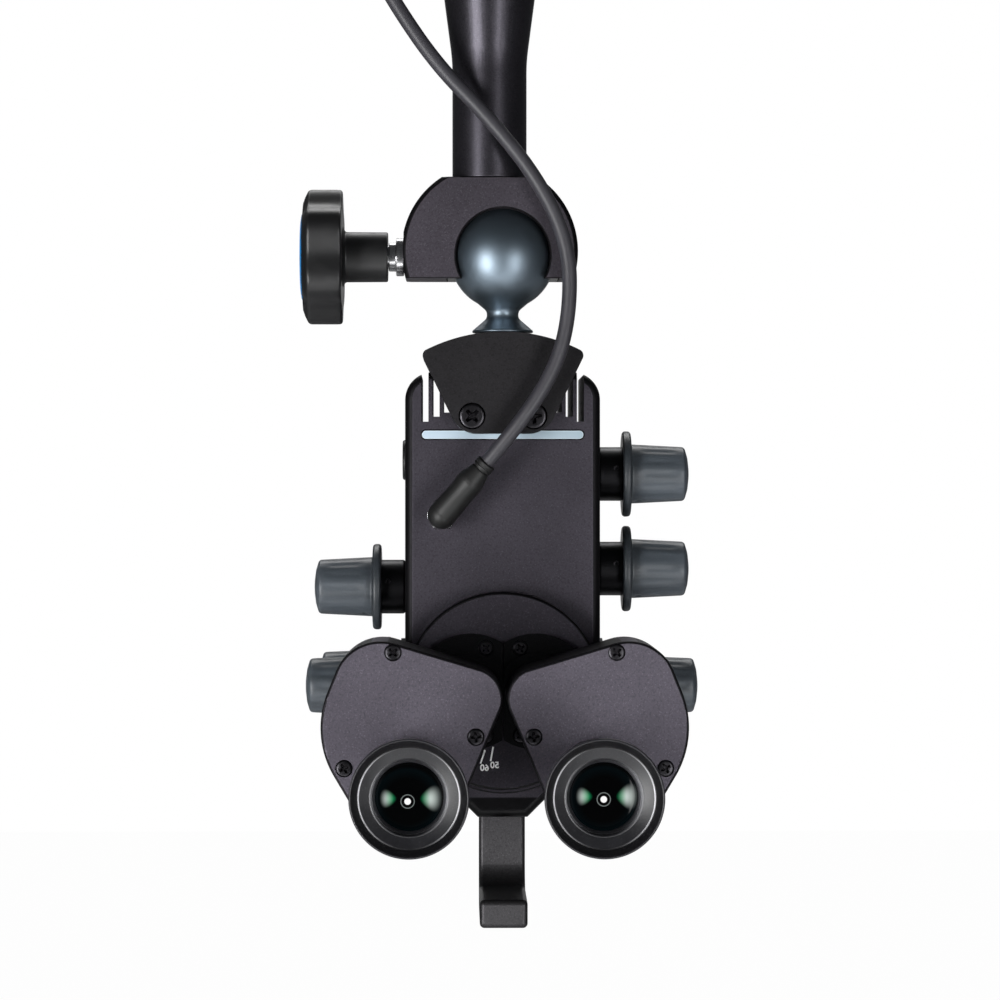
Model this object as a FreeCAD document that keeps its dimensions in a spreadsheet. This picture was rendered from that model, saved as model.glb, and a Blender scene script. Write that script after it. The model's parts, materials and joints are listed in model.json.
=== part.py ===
import FreeCAD, Part
import math
import os
import Sketcher

Vector = FreeCAD.Vector

# Driving dimensions in millimetres and degrees.
# The origin is the mouth of the arm socket, on the drop tube's axis. The operator sits towards -Y.
# Heights called drop are measured downwards from the ball's centre.
SIZES = {
    # fits
    "running_gap": 0.05,
    "free_gap": 0.3,
    # drop tube and its collar
    "ball_depth": 161.9,
    "head_offset": 4.5,
    "tube_radius": 12.7,
    "tube_flare_start": 95.0,
    "tube_head_radius": 17.0,
    "tube_flare_radius": 19.0,
    "tube_flare_rim": 2.0,
    "tube_waist_round": 60.0,
    "tube_flare_round": 12.0,
    "collar_radius": 21.0,
    "collar_height": 45.0,
    "collar_edge": 1.5,
    "arm_bore_radius": 10.0,
    "arm_bore_depth": 40.0,
    "gland_radius": 4.5,
    "gland_seat": 8.0,
    "gland_nose_radius": 3.4,
    "gland_nose": 3.2,
    "gland_edge": 0.8,
    # ball clamp
    "clamp_radius": 30.0,
    "clamp_rise": 1.4,
    "clamp_top": 26.6,
    "clamp_mouth": 7.8,
    "clamp_half_depth": 11.0,
    "clamp_lip": 2.0,
    "clamp_opening": 16.3,
    "clamp_edge": 1.2,
    "clamp_flank": 29.3,
    "ball_radius": 18.0,
    "liner_wall": 2.0,
    # clamp knob
    "stud_radius": 4.0,
    "stud_tip": 20.0,
    "nut_radius": 6.5,
    "nut_width": 2.6,
    "nut_collar_radius": 4.9,
    "nut_collar_width": 2.5,
    "knob_hub_radius": 8.5,
    "knob_hub_length": 15.5,
    "knob_radius": 23.0,
    "knob_width": 13.5,
    "knob_edge": 1.0,
    "knob_bevel": 2.2,
    "knob_bevel_round": 1.5,
    "knob_face_radius": 18.6,
    "knob_hub_flare": 1.5,
    "knob_lobes": 6,
    "knob_scallop_radius": 10.0,
    "knob_scallop_depth": 3.2,
    "knob_cap_radius": 15.1,
    "knob_cap_rise": 0.9,
    "knob_cap_edge": 0.6,
    "knob_cap_seat": 3.0,
    # ball stud
    "neck_radius": 5.5,
    "neck_drop": 19.7,
    "neck_round": 3.0,
    "flare_radius": 10.4,
    "flare_rim": 1.0,
    "stem_radius": 6.0,
    "stem_length": 11.0,
    # fan bracket
    "bracket_drop": 25.9,
    "bracket_arc": 58.0,
    "bracket_shoulder_half": 28.0,
    "bracket_shoulder_round": 2.3,
    "bracket_foot_half": 14.7,
    "bracket_height": 34.6,
    "bracket_foot_round": 9.5,
    "bracket_plate": 9.0,
    "bracket_screw_side": 10.5,
    "bracket_screw_drop": 54.6,
    "bracket_screw_radius": 4.25,
    "bracket_screw_length": 11.5,
    "bracket_screw_sink": 0.4,
    "bracket_screw_edge": 0.8,
    # head housing
    "body_top": 39.3,
    "body_half": 33.4,
    "body_front": 2.0,
    "body_depth": 53.0,
    "body_corner": 9.5,
    "body_chamfer": 24.9,
    "body_front_round": 3.0,
    "wall": 3.0,
    "fin_block": 22.7,
    "vent_pitch": 3.8,
    "vent_width": 2.4,
    "vent_count": 15,
    "vent_arc": 60.0,
    "vent_depth": 10.8,
    "rear_plate": 3.0,
    "strip_half": 28.0,
    "strip_drop": 60.8,
    "strip_height": 3.6,
    "strip_depth": 1.0,
    "side_cap_radius": 7.0,
    "side_cap_rise": 1.2,
    "side_cap_edge": 0.8,
    "side_cap_drop": 69.1,
    # plug on the head
    "socket_side": 20.7,
    "socket_drop": 88.2,
    "socket_radius": 5.5,
    "socket_height": 4.0,
    "socket_edge": 0.5,
    "plug_radius": 3.5,
    "elbow_radius": 4.8,
    "elbow_reach": 11.0,
    "boot_length": 23.8,
    "boot_start": 3.6,
    "boot_waist_radius": 4.6,
    "boot_waist": 8.0,
    "boot_shoulder": 15.0,
    "boot_shoulder_round": 4.0,
    "boot_radius": 4.9,
    "boot_edge": 0.8,
    "boot_tip": 5.0,
    "boot_rib": 1.2,
    "boot_rib_depth": 0.4,
    "boot_tip_radius": 3.25,
    "cord_diameter": 5.0,
    "cord_start": 18.5,
    # controls
    "control_depth": 25.0,
    "brightness_drop": 74.0,
    "control_gap": 3.1,
    "spot_drop": 113.4,
    "shaft_radius": 3.0,
    "collar_disc_radius": 9.4,
    "collar_disc_end": 42.0,
    "collar_disc_edge": 0.8,
    "grip_flange_radius": 15.0,
    "grip_flange": 3.0,
    "grip_flange_edge": 1.0,
    "grip_root_round": 0.8,
    "grip_length": 23.3,
    "grip_radius": 10.3,
    "grip_tip_radius": 9.5,
    "grip_tip_round": 3.0,
    "grip_core_radius": 5.0,
    "grip_core_length": 16.0,
    "pot_radius": 5.4,
    "pot_length": 11.0,
    "barrel_radius": 8.0,
    "barrel_length": 16.0,
    "barrel_start": 4.0,
    "beam_gap": 2.4,
    "beam_radius": 5.0,
    # magnification drum
    "drum_gap": 5.5,
    "optic_rise": 43.8,
    "stereo_half": 11.0,
    "drum_radius": 21.0,
    "drum_half": 24.0,
    "drum_channel_radius": 7.5,
    "drum_lens_thickness": 2.5,
    "drum_lens_reach": 18.0,
    "drum_boss_radius": 16.5,
    "drum_boss_rise": 1.7,
    "drum_grip_length": 26.4,
    "drum_shaft_radius": 5.0,
    # binocular base
    "base_over": 0.2,
    "base_depth": 10.0,
    "base_step": 1.6,
    "base_step_depth": 4.0,
    "base_step_edge": 0.6,
    "base_edge": 1.0,
    "hub_radius": 19.6,
    "hub_depth": 7.7,
    "hub_flange": 3.0,
    "hub_ring_radius": 13.2,
    "hub_split": 0.3,
    "hub_screw_side": 5.2,
    "hub_screw_rise": 14.7,
    "hub_screw_radius": 2.5,
    "hub_screw_head": 1.6,
    "window_radius": 7.5,
    # ear housings
    "ear_back": 20.0,
    "ear_front": 58.0,
    "ear_wall": 2.5,
    "ear_cover": 3.0,
    "spigot_radius": 9.5,
    "spigot_length": 6.5,
    "nose_radius": 10.3,
    "eye_side": 30.6,
    "eye_below": 28.5,
    "eye_arc_side": 32.0,
    "eye_arc": 18.6,
    "crown_side": 40.5,
    "crown_above": 3.3,
    "crown_radius": 15.6,
    "cheek_side": 29.0,
    "cheek_below": 9.3,
    "cheek_radius": 31.0,
    "ear_edge": 1.0,
    "crown_screw_in": 4.1,
    "crown_screw_up": 11.9,
    "nose_screw_in": 1.55,
    "nose_screw_down": 12.3,
    "eye_screw_out": 21.7,
    "eye_screw_up": 6.0,
    "ear_screw_radius": 2.75,
    "ear_screw_sink": 0.2,
    "ear_screw_head": 1.8,
    "ear_screw_shank": 1.2,
    "ear_screw_length": 5.0,
    "ear_lug": 8.0,
    "ear_drill_spare": 1.0,
    "prism_half": 5.4,
    "prism_gap": 0.3,
    # eyepieces
    "barrel_flange_radius": 15.7,
    "barrel_flange": 8.0,
    "barrel_flange_edge": 1.0,
    "barrel_edge": 0.5,
    "eye_barrel_radius": 12.6,
    "eye_barrel_seat": 8.0,
    "eye_barrel_front": 95.0,
    "eye_lens_radius": 10.8,
    "eye_lens_thickness": 5.0,
    "eye_lens_sink": 1.0,
    "eye_lens_crown": 0.6,
    "cup_back": 66.3,
    "cup_front": 103.0,
    "cup_radius": 18.9,
    "cup_waist_radius": 16.2,
    "cup_flare": 12.0,
    "cup_flare_round": 6.0,
    "cup_rim": 2.0,
    "cup_rim_round": 1.5,
    "cup_edge": 1.0,
    "cup_inner_edge": 0.8,
    "cup_recess_radius": 15.7,
    "cup_recess": 6.5,
    # handle
    "handle_half": 8.0,
    "handle_thickness": 9.5,
    "handle_back": 27.5,
    "handle_reach": 57.5,
    "handle_height": 34.4,
    "handle_inner_round": 8.0,
    "handle_outer_round": 12.0,
    "handle_tip_round": 2.0,
    "handle_edge": 1.6,
    # objective
    "objective_radius": 32.0,
    "objective_bore": 28.0,
    "objective_length": 50.0,
    "objective_nose_radius": 28.5,
    "objective_nose": 8.0,
    "objective_edge": 1.5,
    "objective_nose_edge": 1.0,
    "objective_mouth_radius": 24.0,
    "objective_mouth": 9.0,
    "objective_taper": 4.0,
    "objective_window": 20.0,
    "front_glass": 3.0,
    "cell_length": 14.0,
    "cell_start": 70.0,
    "cell_lens_radius": 22.0,
    "cell_lens_thickness": 6.0,
    "focus_depth": 75.0,
    "focus_collar_start": 33.2,
    "focus_grip_start": 39.2,
    "pinion_radius": 4.7,
    "pinion_length": 5.0,
    # inner pieces of the lamp
    "lamp_half": 20.0,
    "lamp_depth": 20.0,
    "lamp_height": 9.0,
    "collector_radius": 6.0,
    "collector_thickness": 3.0,
    "collector_rim": 1.0,
    "collector_taper": 2.5,
    "mirror_height": 6.0,
    "mirror_depth": 8.0,
    "board_width": 52.0,
    "board_height": 34.0,
    "board_thickness": 1.6,
    "board_drop": 82.0,
}

document = FreeCAD.newDocument("SurgicalMicroscope")
sheet = document.addObject("Spreadsheet::Sheet", "Sizes")
nodes = []


class Size:
    """A length with its value now and the sheet formula that gives it."""

    def __init__(self, value, text):
        self.value = value
        self.text = text

    def __add__(self, other):
        other = as_size(other)
        return Size(self.value + other.value, f"({self.text} + {other.text})")

    def __sub__(self, other):
        other = as_size(other)
        return Size(self.value - other.value, f"({self.text} - {other.text})")

    def __mul__(self, other):
        other = as_size(other)
        return Size(self.value * other.value, f"({self.text} * {other.text})")

    def __truediv__(self, other):
        other = as_size(other)
        return Size(self.value / other.value, f"({self.text} / {other.text})")

    def __neg__(self):
        return self * -1

    __radd__ = __add__
    __rmul__ = __mul__

    def __rsub__(self, other):
        return as_size(other) - self


def as_size(value):
    """Return value as a Size, plain numbers included."""
    if isinstance(value, Size):
        return value
    return Size(float(value), repr(float(value)))


def square_root(size):
    """Square root of a size."""
    return Size(math.sqrt(size.value), f"sqrt({size.text})")


class SheetSizes:
    """The sheet's cells by their alias."""

    def __init__(self, values):
        for row, (alias, value) in enumerate(values.items(), start=1):
            sheet.set(f"A{row}", alias.replace("_", " "))
            sheet.set(f"B{row}", str(value))
            sheet.setAlias(f"B{row}", alias)
            setattr(self, alias, Size(float(value), f"Sizes.{alias}"))


S = SheetSizes(SIZES)
document.recompute()

PLANES = {"X": "YZ_Plane", "Y": "XZ_Plane", "Z": "XY_Plane"}
TURNS = {
    "X": FreeCAD.Rotation(Vector(0, 1, 0), 90),
    "Y": FreeCAD.Rotation(Vector(1, 0, 0), -90),
    "Z": FreeCAD.Rotation(),
}


def bind(thing, name, size):
    """Tie one property of a document object to a size."""
    thing.setExpression(name, as_size(size).text)


def place(thing, at):
    """Tie the position of a document object to three sizes; None leaves it to be aimed."""
    for axis, size in zip("xyz", at or ()):
        bind(thing, f"Placement.Base.{axis}", size)
    return thing


def origin_plane(body, role):
    """The body's own origin plane with this role."""
    return next(part for part in body.Origin.OriginFeatures if part.Role == role)


def new_sketch(body, axis, offset=0):
    """A sketch square to an axis of the body; offset is its place along the axis."""
    sketch = body.newObject("Sketcher::SketchObject", body.Name + "Sketch")
    sketch.AttachmentSupport = [(origin_plane(body, PLANES[axis]), "")]
    sketch.MapMode = "FlatFace"
    along_normal = -as_size(offset) if axis == "Y" else as_size(offset)
    bind(sketch, "AttachmentOffset.Base.z", along_normal)
    return sketch


def flat(point):
    """A sketch point from the values of a corner."""
    return Vector(as_size(point[0]).value, as_size(point[1]).value, 0)


def pin_point(rules, geometry, position, corner):
    """Fix one point of the sketch at its two sizes from the sketch's origin."""
    for kind, size in (("DistanceX", corner[0]), ("DistanceY", corner[1])):
        size = as_size(size)
        rules.append((Sketcher.Constraint(kind, -1, 1, geometry, position, size.value), size))


def add_rules(sketch, rules):
    """Add the constraints and tie the dimensioned ones to their sizes."""
    first = sketch.ConstraintCount
    sketch.addConstraint([rule for rule, _ in rules])
    for index, (_, size) in enumerate(rules, start=first):
        if size is not None:
            bind(sketch, f"Constraints[{index}]", size)


def corner_arc(before, corner, after, radius):
    """Tangent points and arc of a rounded corner, and whether it turns to the left."""
    incoming = (corner - before).normalize()
    outgoing = (after - corner).normalize()
    turn = incoming.getAngle(outgoing)
    reach = radius * math.tan(turn / 2)
    start = corner - incoming * reach
    end = corner + outgoing * reach
    left = incoming.cross(outgoing).z > 0
    side = Vector(-incoming.y, incoming.x, 0) * (1 if left else -1)
    centre = start + side * radius
    first, last = (start, end) if left else (end, start)
    angles = [math.atan2(point.y - centre.y, point.x - centre.x) for point in (first, last)]
    circle = Part.Circle(centre, Vector(0, 0, 1), radius)
    return start, end, Part.ArcOfCircle(circle, angles[0], angles[1]), left


def draw_outline(sketch, corners):
    """Draw a closed outline of straight sides; a third number in a corner rounds it."""
    count = len(corners)
    points = [flat(corner) for corner in corners]
    starts = list(points)
    ends = list(points)
    arcs = {}
    for index, corner in enumerate(corners):
        if len(corner) == 3:
            around = (points[index - 1], points[index], points[(index + 1) % count])
            into, out, arc, left = corner_arc(*around, as_size(corner[2]).value)
            ends[index] = into
            starts[index] = out
            arcs[index] = (arc, left)
    for index in range(count):
        sketch.addGeometry(Part.LineSegment(starts[index], ends[(index + 1) % count]), False)
    rules = []
    for index, corner in enumerate(corners):
        before = (index - 1) % count
        if index not in arcs:
            rules.append((Sketcher.Constraint("Coincident", before, 2, index, 1), None))
            pin_point(rules, index, 1, corner)
            continue
        arc, left = arcs[index]
        curve = sketch.addGeometry(arc, False)
        mark = sketch.addGeometry(Part.Point(points[index]), True)
        first, last = (1, 2) if left else (2, 1)
        pin_point(rules, mark, 1, corner)
        rules.append((Sketcher.Constraint("PointOnObject", mark, 1, before), None))
        rules.append((Sketcher.Constraint("PointOnObject", mark, 1, index), None))
        rules.append((Sketcher.Constraint("Tangent", before, 2, curve, first), None))
        rules.append((Sketcher.Constraint("Tangent", curve, last, index, 1), None))
        radius = as_size(corner[2])
        rules.append((Sketcher.Constraint("Radius", curve, radius.value), radius))
    add_rules(sketch, rules)


def draw_belt(sketch, circles):
    """Draw a belt round circles given as x, y and radius, anticlockwise."""
    count = len(circles)
    centres = [flat(circle) for circle in circles]
    radii = [as_size(circle[2]).value for circle in circles]
    normals = []
    for index in range(count):
        after = (index + 1) % count
        along = centres[after] - centres[index]
        cosine = (radii[index] - radii[after]) / along.Length
        along.normalize()
        outward = Vector(along.y, -along.x, 0)
        normals.append(along * cosine + outward * math.sqrt(1 - cosine * cosine))
    for index in range(count):
        after = (index + 1) % count
        start = centres[index] + normals[index] * radii[index]
        end = centres[after] + normals[index] * radii[after]
        sketch.addGeometry(Part.LineSegment(start, end), False)
    rules = []
    for index in range(count):
        before = (index - 1) % count
        angles = [math.atan2(normals[side].y, normals[side].x) for side in (before, index)]
        circle = Part.Circle(centres[index], Vector(0, 0, 1), radii[index])
        curve = sketch.addGeometry(Part.ArcOfCircle(circle, angles[0], angles[1]), False)
        pin_point(rules, curve, 3, circles[index])
        radius = as_size(circles[index][2])
        rules.append((Sketcher.Constraint("Radius", curve, radius.value), radius))
        rules.append((Sketcher.Constraint("Tangent", before, 2, curve, 1), None))
        rules.append((Sketcher.Constraint("Tangent", curve, 2, index, 1), None))
    add_rules(sketch, rules)


def slab(name, axis, shape, low, high, at=(0, 0, 0), draw=draw_outline):
    """A plate with this outline, square to an axis, from low to high along it."""
    body = document.addObject("PartDesign::Body", name)
    sketch = new_sketch(body, axis, low)
    draw(sketch, shape)
    pad = body.newObject("PartDesign::Pad", name + "Pad")
    pad.Profile = sketch
    pad.Reversed = axis == "Y"
    bind(pad, "Length", as_size(high) - as_size(low))
    return place(body, at)


def turned(name, axis, profile, at=(0, 0, 0)):
    """A turned piece; its profile gives the place along the axis and the radius."""
    body = document.addObject("PartDesign::Body", name)
    sketch = new_sketch(body, {"X": "Y", "Y": "X", "Z": "Y"}[axis])
    if axis == "Z":
        profile = [(corner[1], corner[0], *corner[2:]) for corner in profile]
    draw_outline(sketch, profile)
    turning = body.newObject("PartDesign::Revolution", name + "Turning")
    turning.Profile = sketch
    turning.ReferenceAxis = (sketch, ["V_Axis" if axis == "Z" else "H_Axis"])
    turning.Angle = 360
    return place(body, at)


def rounded_edges(body, radius, choose):
    """Round the edges of a body that the test chooses."""
    document.recompute()
    blank = body.Tip
    names = [f"Edge{index}" for index, edge in enumerate(blank.Shape.Edges, start=1) if choose(edge)]
    feature = body.newObject("PartDesign::Fillet", body.Name + "Round")
    feature.Base = (blank, names)
    bind(feature, "Radius", radius)
    body.Tip = feature
    return body


def edge_at(axis, place_along):
    """A test for edges that lie wholly at one place along an axis of their body."""
    index = "XYZ".index(axis)
    level = as_size(place_along).value

    def test(edge):
        box = edge.BoundBox
        low = (box.XMin, box.YMin, box.ZMin)[index]
        high = (box.XMax, box.YMax, box.ZMax)[index]
        return abs(low - level) < 0.001 and abs(high - level) < 0.001

    return test


def rod(name, axis, radius, low, high, at=(0, 0, 0)):
    """A cylinder along an axis, from low to high beside the point at."""
    cylinder = document.addObject("Part::Cylinder", name)
    bind(cylinder, "Radius", radius)
    bind(cylinder, "Height", as_size(high) - as_size(low))
    cylinder.Placement = FreeCAD.Placement(Vector(), TURNS[axis])
    start = [as_size(value) for value in at]
    index = "XYZ".index(axis)
    start[index] = start[index] + low
    return place(cylinder, start)


def block(name, low, high):
    """A box between two opposite corners."""
    box = document.addObject("Part::Box", name)
    for side, start, end in zip(("Length", "Width", "Height"), low, high):
        bind(box, side, as_size(end) - as_size(start))
    return place(box, low)


def joined(name, pieces):
    """One solid from pieces that meet."""
    union = document.addObject("Part::MultiFuse", name)
    union.Shapes = pieces
    union.Refine = True
    return union


def cut(name, base, tools):
    """The base without its tools."""
    tool = tools[0] if len(tools) == 1 else joined(name + "Tools", tools)
    result = document.addObject("Part::Cut", name)
    result.Base = base
    result.Tool = tool
    return result


def node(label, thing):
    """Name a finished piece and keep it for the parts folder."""
    thing.Label = label
    nodes.append(thing)
    return thing


def aimed(thing, start, direction):
    """Stand a piece that was made along Z at a point, along a direction."""
    turn = FreeCAD.Rotation(Vector(0, 0, 1), direction)
    thing.Placement = FreeCAD.Placement(start, turn)
    return thing


# Places shared by many pieces
HEAD = (S.head_offset, 0, -S.ball_depth)
FRONT = -S.body_front
BACK = S.body_depth + FRONT
REAR = BACK + S.rear_plate
CONTROL_Y = S.control_depth

# Drops that follow from the pieces beside them
FILTER_DROP = S.brightness_drop + S.grip_flange_radius * 2 + S.control_gap
OPTIC_DROP = S.spot_drop + S.barrel_radius + S.drum_gap + S.drum_radius
BODY_HEIGHT = OPTIC_DROP + S.optic_rise - S.body_top
EYE_DROP = OPTIC_DROP + S.eye_below
CROWN_DROP = OPTIC_DROP - S.crown_above
CHEEK_DROP = OPTIC_DROP + S.cheek_below

# Places that follow from the housing's width
BASE_RADIUS = S.body_half + S.base_over
BASE_STEP_RADIUS = BASE_RADIUS + S.base_step
BEAM_SIDE = S.body_half - S.wall - S.pot_length - S.beam_gap - S.beam_radius


def head_point(side, depth, drop):
    """A point given from the head's middle and the ball's centre."""
    return (S.head_offset + side, depth, -S.ball_depth - drop)


# The cord's route from the plug's boot to the collar's gland, chosen by hand
BOOT_AIM = Vector(0.6389, -0.18, 0.748).normalize()
ELBOW = Vector(
    (S.head_offset - S.socket_side).value,
    (FRONT - S.elbow_reach).value,
    -(S.ball_depth + S.socket_drop).value,
)
BOOT_END = ELBOW + BOOT_AIM * S.boot_length.value
CORD_POINTS = [
    BOOT_END,
    BOOT_END + BOOT_AIM * S.cord_start.value,
    Vector(22.5, -20.2, -199.9),
    Vector(26.9, -19.6, -181.7),
    Vector(26.7, -19.3, -159.8),
    Vector(16.9, -19.1, -137.9),
    Vector(-0.9, -19.2, -115.6),
    Vector(-17.7, -19.0, -98.8),
    Vector(-32.9, -18.3, -76.5),
    Vector(-41.0, -17.2, -60.5),
    Vector(-42.0, -15.6, -44.5),
    Vector(-35.5, -13.2, -29.5),
    Vector(-24.5, -9.2, -19.0),
]
CORD_BEND = 0.45
GLAND_AIM = (CORD_POINTS[-2] - CORD_POINTS[-1]).normalize()


def make_arm():
    """Drop tube with its socket, collar and cable gland."""
    flare = S.collar_height
    tube_end = S.ball_depth - S.clamp_top
    tube = turned("DropTubeTurned", "Z", [
        (-tube_end, 0),
        (-tube_end, S.tube_radius),
        (-S.tube_flare_start, S.tube_radius, S.tube_waist_round),
        (-flare - S.tube_flare_rim, S.tube_flare_radius, S.tube_flare_round),
        (-flare, S.tube_flare_radius),
        (-flare, S.tube_head_radius),
        (0, S.tube_head_radius),
        (0, S.arm_bore_radius),
        (-S.arm_bore_depth, S.arm_bore_radius),
        (-S.arm_bore_depth, 0),
    ])
    node("drop_tube", tube)
    collar = turned("CollarTurned", "Z", [
        (-flare, S.tube_head_radius + S.running_gap),
        (-flare, S.collar_radius, S.collar_edge),
        (0, S.collar_radius, S.collar_edge),
        (0, S.tube_head_radius + S.running_gap),
    ])
    seat_start = CORD_POINTS[-1] - GLAND_AIM * S.gland_seat.value
    seat = document.addObject("Part::Cylinder", "GlandSeat")
    bind(seat, "Radius", S.gland_radius + S.running_gap)
    bind(seat, "Height", S.gland_seat)
    aimed(seat, seat_start, GLAND_AIM)
    node("arm_collar", cut("Collar", collar, [seat]))
    gland = turned("Gland", "Z", [
        (0, 0),
        (0, S.gland_radius),
        (S.gland_seat - S.gland_nose, S.gland_radius, S.gland_edge),
        (S.gland_seat, S.gland_nose_radius),
        (S.gland_seat, 0),
    ], None)
    aimed(gland, seat_start, GLAND_AIM)
    node("cable_gland", gland)


def make_clamp():
    """C-shaped ball clamp, the brake liner in it and the lock nut."""
    half = S.clamp_half_depth
    disc = turned("ClampDisc", "Y", [
        (-half, 0),
        (-half, S.clamp_radius - S.clamp_edge),
        (-half + S.clamp_edge, S.clamp_radius),
        (half - S.clamp_edge, S.clamp_radius),
        (half, S.clamp_radius - S.clamp_edge),
        (half, 0),
    ], (0, 0, S.clamp_rise - S.ball_depth))
    window = block(
        "ClampWindow",
        (-S.clamp_flank, -half, -S.clamp_mouth - S.ball_depth),
        (S.clamp_radius + S.clamp_edge, half, S.clamp_top - S.ball_depth),
    )
    blank = document.addObject("Part::Common", "ClampBlank")
    blank.Base = disc
    blank.Tool = window
    liner_outer = S.ball_radius + S.liner_wall + S.free_gap
    inner_half = half - S.clamp_lip
    bore = rod("ClampBore", "Y", liner_outer + S.free_gap, -inner_half, inner_half, HEAD)
    opening = rod("ClampOpening", "Y", S.clamp_opening, -half, half, HEAD)
    stud_hole = rod(
        "ClampStudHole", "X", S.stud_radius + S.running_gap,
        -S.clamp_radius, -S.stud_tip + S.free_gap, (0, 0, -S.ball_depth),
    )
    node("clamp_block", cut("Clamp", blank, [bore, opening, stud_hole]))

    ring = rod("LinerRing", "Y", liner_outer, -inner_half + S.free_gap, inner_half - S.free_gap, HEAD)
    ball = document.addObject("Part::Sphere", "LinerSphere")
    bind(ball, "Radius", S.ball_radius + S.free_gap / 2)
    place(ball, HEAD)
    below = block(
        "LinerMouth",
        (S.head_offset - S.clamp_radius, -half, -S.ball_depth - S.clamp_radius),
        (S.head_offset + S.clamp_radius, half, -S.ball_depth - S.clamp_mouth),
    )
    node("ball_liner", cut("Liner", ring, [ball, below]))

    flank = -S.clamp_flank
    washer_end = flank - S.nut_width
    nut = turned("LockNut", "X", [
        (flank, S.stud_radius + S.running_gap),
        (flank, S.nut_radius),
        (washer_end, S.nut_radius),
        (washer_end, S.nut_collar_radius),
        (washer_end - S.nut_collar_width, S.nut_collar_radius),
        (washer_end - S.nut_collar_width, S.stud_radius + S.running_gap),
    ], (0, 0, -S.ball_depth))
    node("lock_nut", nut)


def make_clamp_knob():
    """Lobed clamp knob on its stud, with the coloured cap."""
    axis_point = (0, 0, -S.ball_depth)
    hub_start = -S.clamp_flank - S.nut_width - S.nut_collar_width - S.free_gap
    inner = hub_start - S.knob_hub_length
    outer = inner - S.knob_width
    seat = outer + S.knob_cap_seat
    blank = turned("KnobTurned", "X", [
        (hub_start, S.stud_radius),
        (hub_start, S.knob_hub_radius),
        (inner, S.knob_hub_radius + S.knob_hub_flare),
        (inner, S.knob_radius, S.knob_edge),
        (outer + S.knob_bevel, S.knob_radius, S.knob_bevel_round),
        (outer, S.knob_face_radius, S.knob_edge),
        (outer, S.knob_cap_radius + S.running_gap),
        (seat, S.knob_cap_radius + S.running_gap),
        (seat, S.stud_radius),
    ], axis_point)
    lobes = int(S.knob_lobes.value)
    centre = S.knob_radius + S.knob_scallop_radius - S.knob_scallop_depth
    scallops = []
    for number in range(lobes):
        angle = math.radians(360 / lobes * number)
        beside = (0, centre * math.cos(angle), centre * math.sin(angle) - S.ball_depth)
        scallops.append(rod(f"KnobScallop{number}", "X", S.knob_scallop_radius, outer, inner, beside))
    node("clamp_knob", cut("Knob", blank, scallops))
    cap = turned("KnobCap", "X", [
        (seat, 0),
        (seat, S.knob_cap_radius),
        (outer - S.knob_cap_rise, S.knob_cap_radius, S.knob_cap_edge),
        (outer - S.knob_cap_rise, 0),
    ], axis_point)
    node("clamp_knob_cap", cap)
    stud = rod("KnobStud", "X", S.stud_radius, seat, -S.stud_tip, axis_point)
    node("clamp_stud", stud)


def make_ball_stud():
    """Ball, neck, flare and stem in one turned piece."""
    ball = document.addObject("Part::Sphere", "StudBall")
    bind(ball, "Radius", S.ball_radius)
    place(ball, HEAD)
    seat = S.bracket_drop - S.free_gap
    neck = turned("StudNeck", "Z", [
        (-S.ball_radius / 2, 0),
        (-S.ball_radius / 2, S.neck_radius),
        (-S.neck_drop, S.neck_radius, S.neck_round),
        (-seat + S.flare_rim, S.flare_radius),
        (-seat, S.flare_radius),
        (-seat, S.stem_radius),
        (-seat - S.stem_length, S.stem_radius),
        (-seat - S.stem_length, 0),
    ], HEAD)
    node("ball_stud", joined("BallStud", [ball, neck]))


def make_bracket():
    """Fan-shaped bracket and its two screws."""
    top = -S.bracket_drop
    foot = top - S.bracket_height
    plate_front = FRONT - S.bracket_plate
    half = S.bracket_shoulder_half
    arc_height = square_root(S.bracket_arc * S.bracket_arc - half * half)
    shoulder = top - S.bracket_arc + arc_height
    peak = shoulder + half * half / arc_height
    fan = slab("BracketFan", "Y", [
        (-half, shoulder, S.bracket_shoulder_round),
        (-S.bracket_foot_half, foot, S.bracket_foot_round),
        (S.bracket_foot_half, foot, S.bracket_foot_round),
        (half, shoulder, S.bracket_shoulder_round),
        (0, peak),
    ], plate_front, -plate_front, HEAD)
    crown = rod("BracketCrown", "Y", S.bracket_arc, plate_front, -plate_front,
                head_point(0, 0, S.bracket_drop + S.bracket_arc))
    arched = document.addObject("Part::Common", "BracketArched")
    arched.Base = fan
    arched.Tool = crown
    under = block(
        "BracketSeat",
        head_point(-S.bracket_shoulder_half, FRONT, S.bracket_drop + S.bracket_height),
        head_point(S.bracket_shoulder_half, -plate_front, S.body_top),
    )
    stem_hole = rod("BracketStemHole", "Z", S.stem_radius + S.running_gap,
                    -S.bracket_drop - S.stem_length - S.free_gap * 2, -S.bracket_drop, HEAD)
    tools = [under, stem_hole]
    screws = []
    head_depth = S.bracket_plate / 3
    for side in (-1, 1):
        beside = head_point(side * S.bracket_screw_side, plate_front, S.bracket_screw_drop)
        tools.append(rod(f"BracketCounterbore{side}", "Y", S.bracket_screw_radius + S.free_gap,
                         0, head_depth, beside))
        tools.append(rod(f"BracketScrewHole{side}", "Y", S.bracket_screw_radius / 2,
                         0, S.bracket_plate, beside))
        screws.append(turned(f"BracketScrew{side}", "Y", [
            (S.bracket_screw_sink, 0),
            (S.bracket_screw_sink, S.bracket_screw_radius, S.bracket_screw_edge),
            (head_depth, S.bracket_screw_radius),
            (head_depth, S.bracket_screw_radius / 2 - S.running_gap),
            (S.bracket_screw_length, S.bracket_screw_radius / 2 - S.running_gap),
            (S.bracket_screw_length, 0),
        ], beside))
    node("fan_bracket", cut("Bracket", arched, tools))
    node("bracket_screws", joined("BracketScrews", screws))


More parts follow.
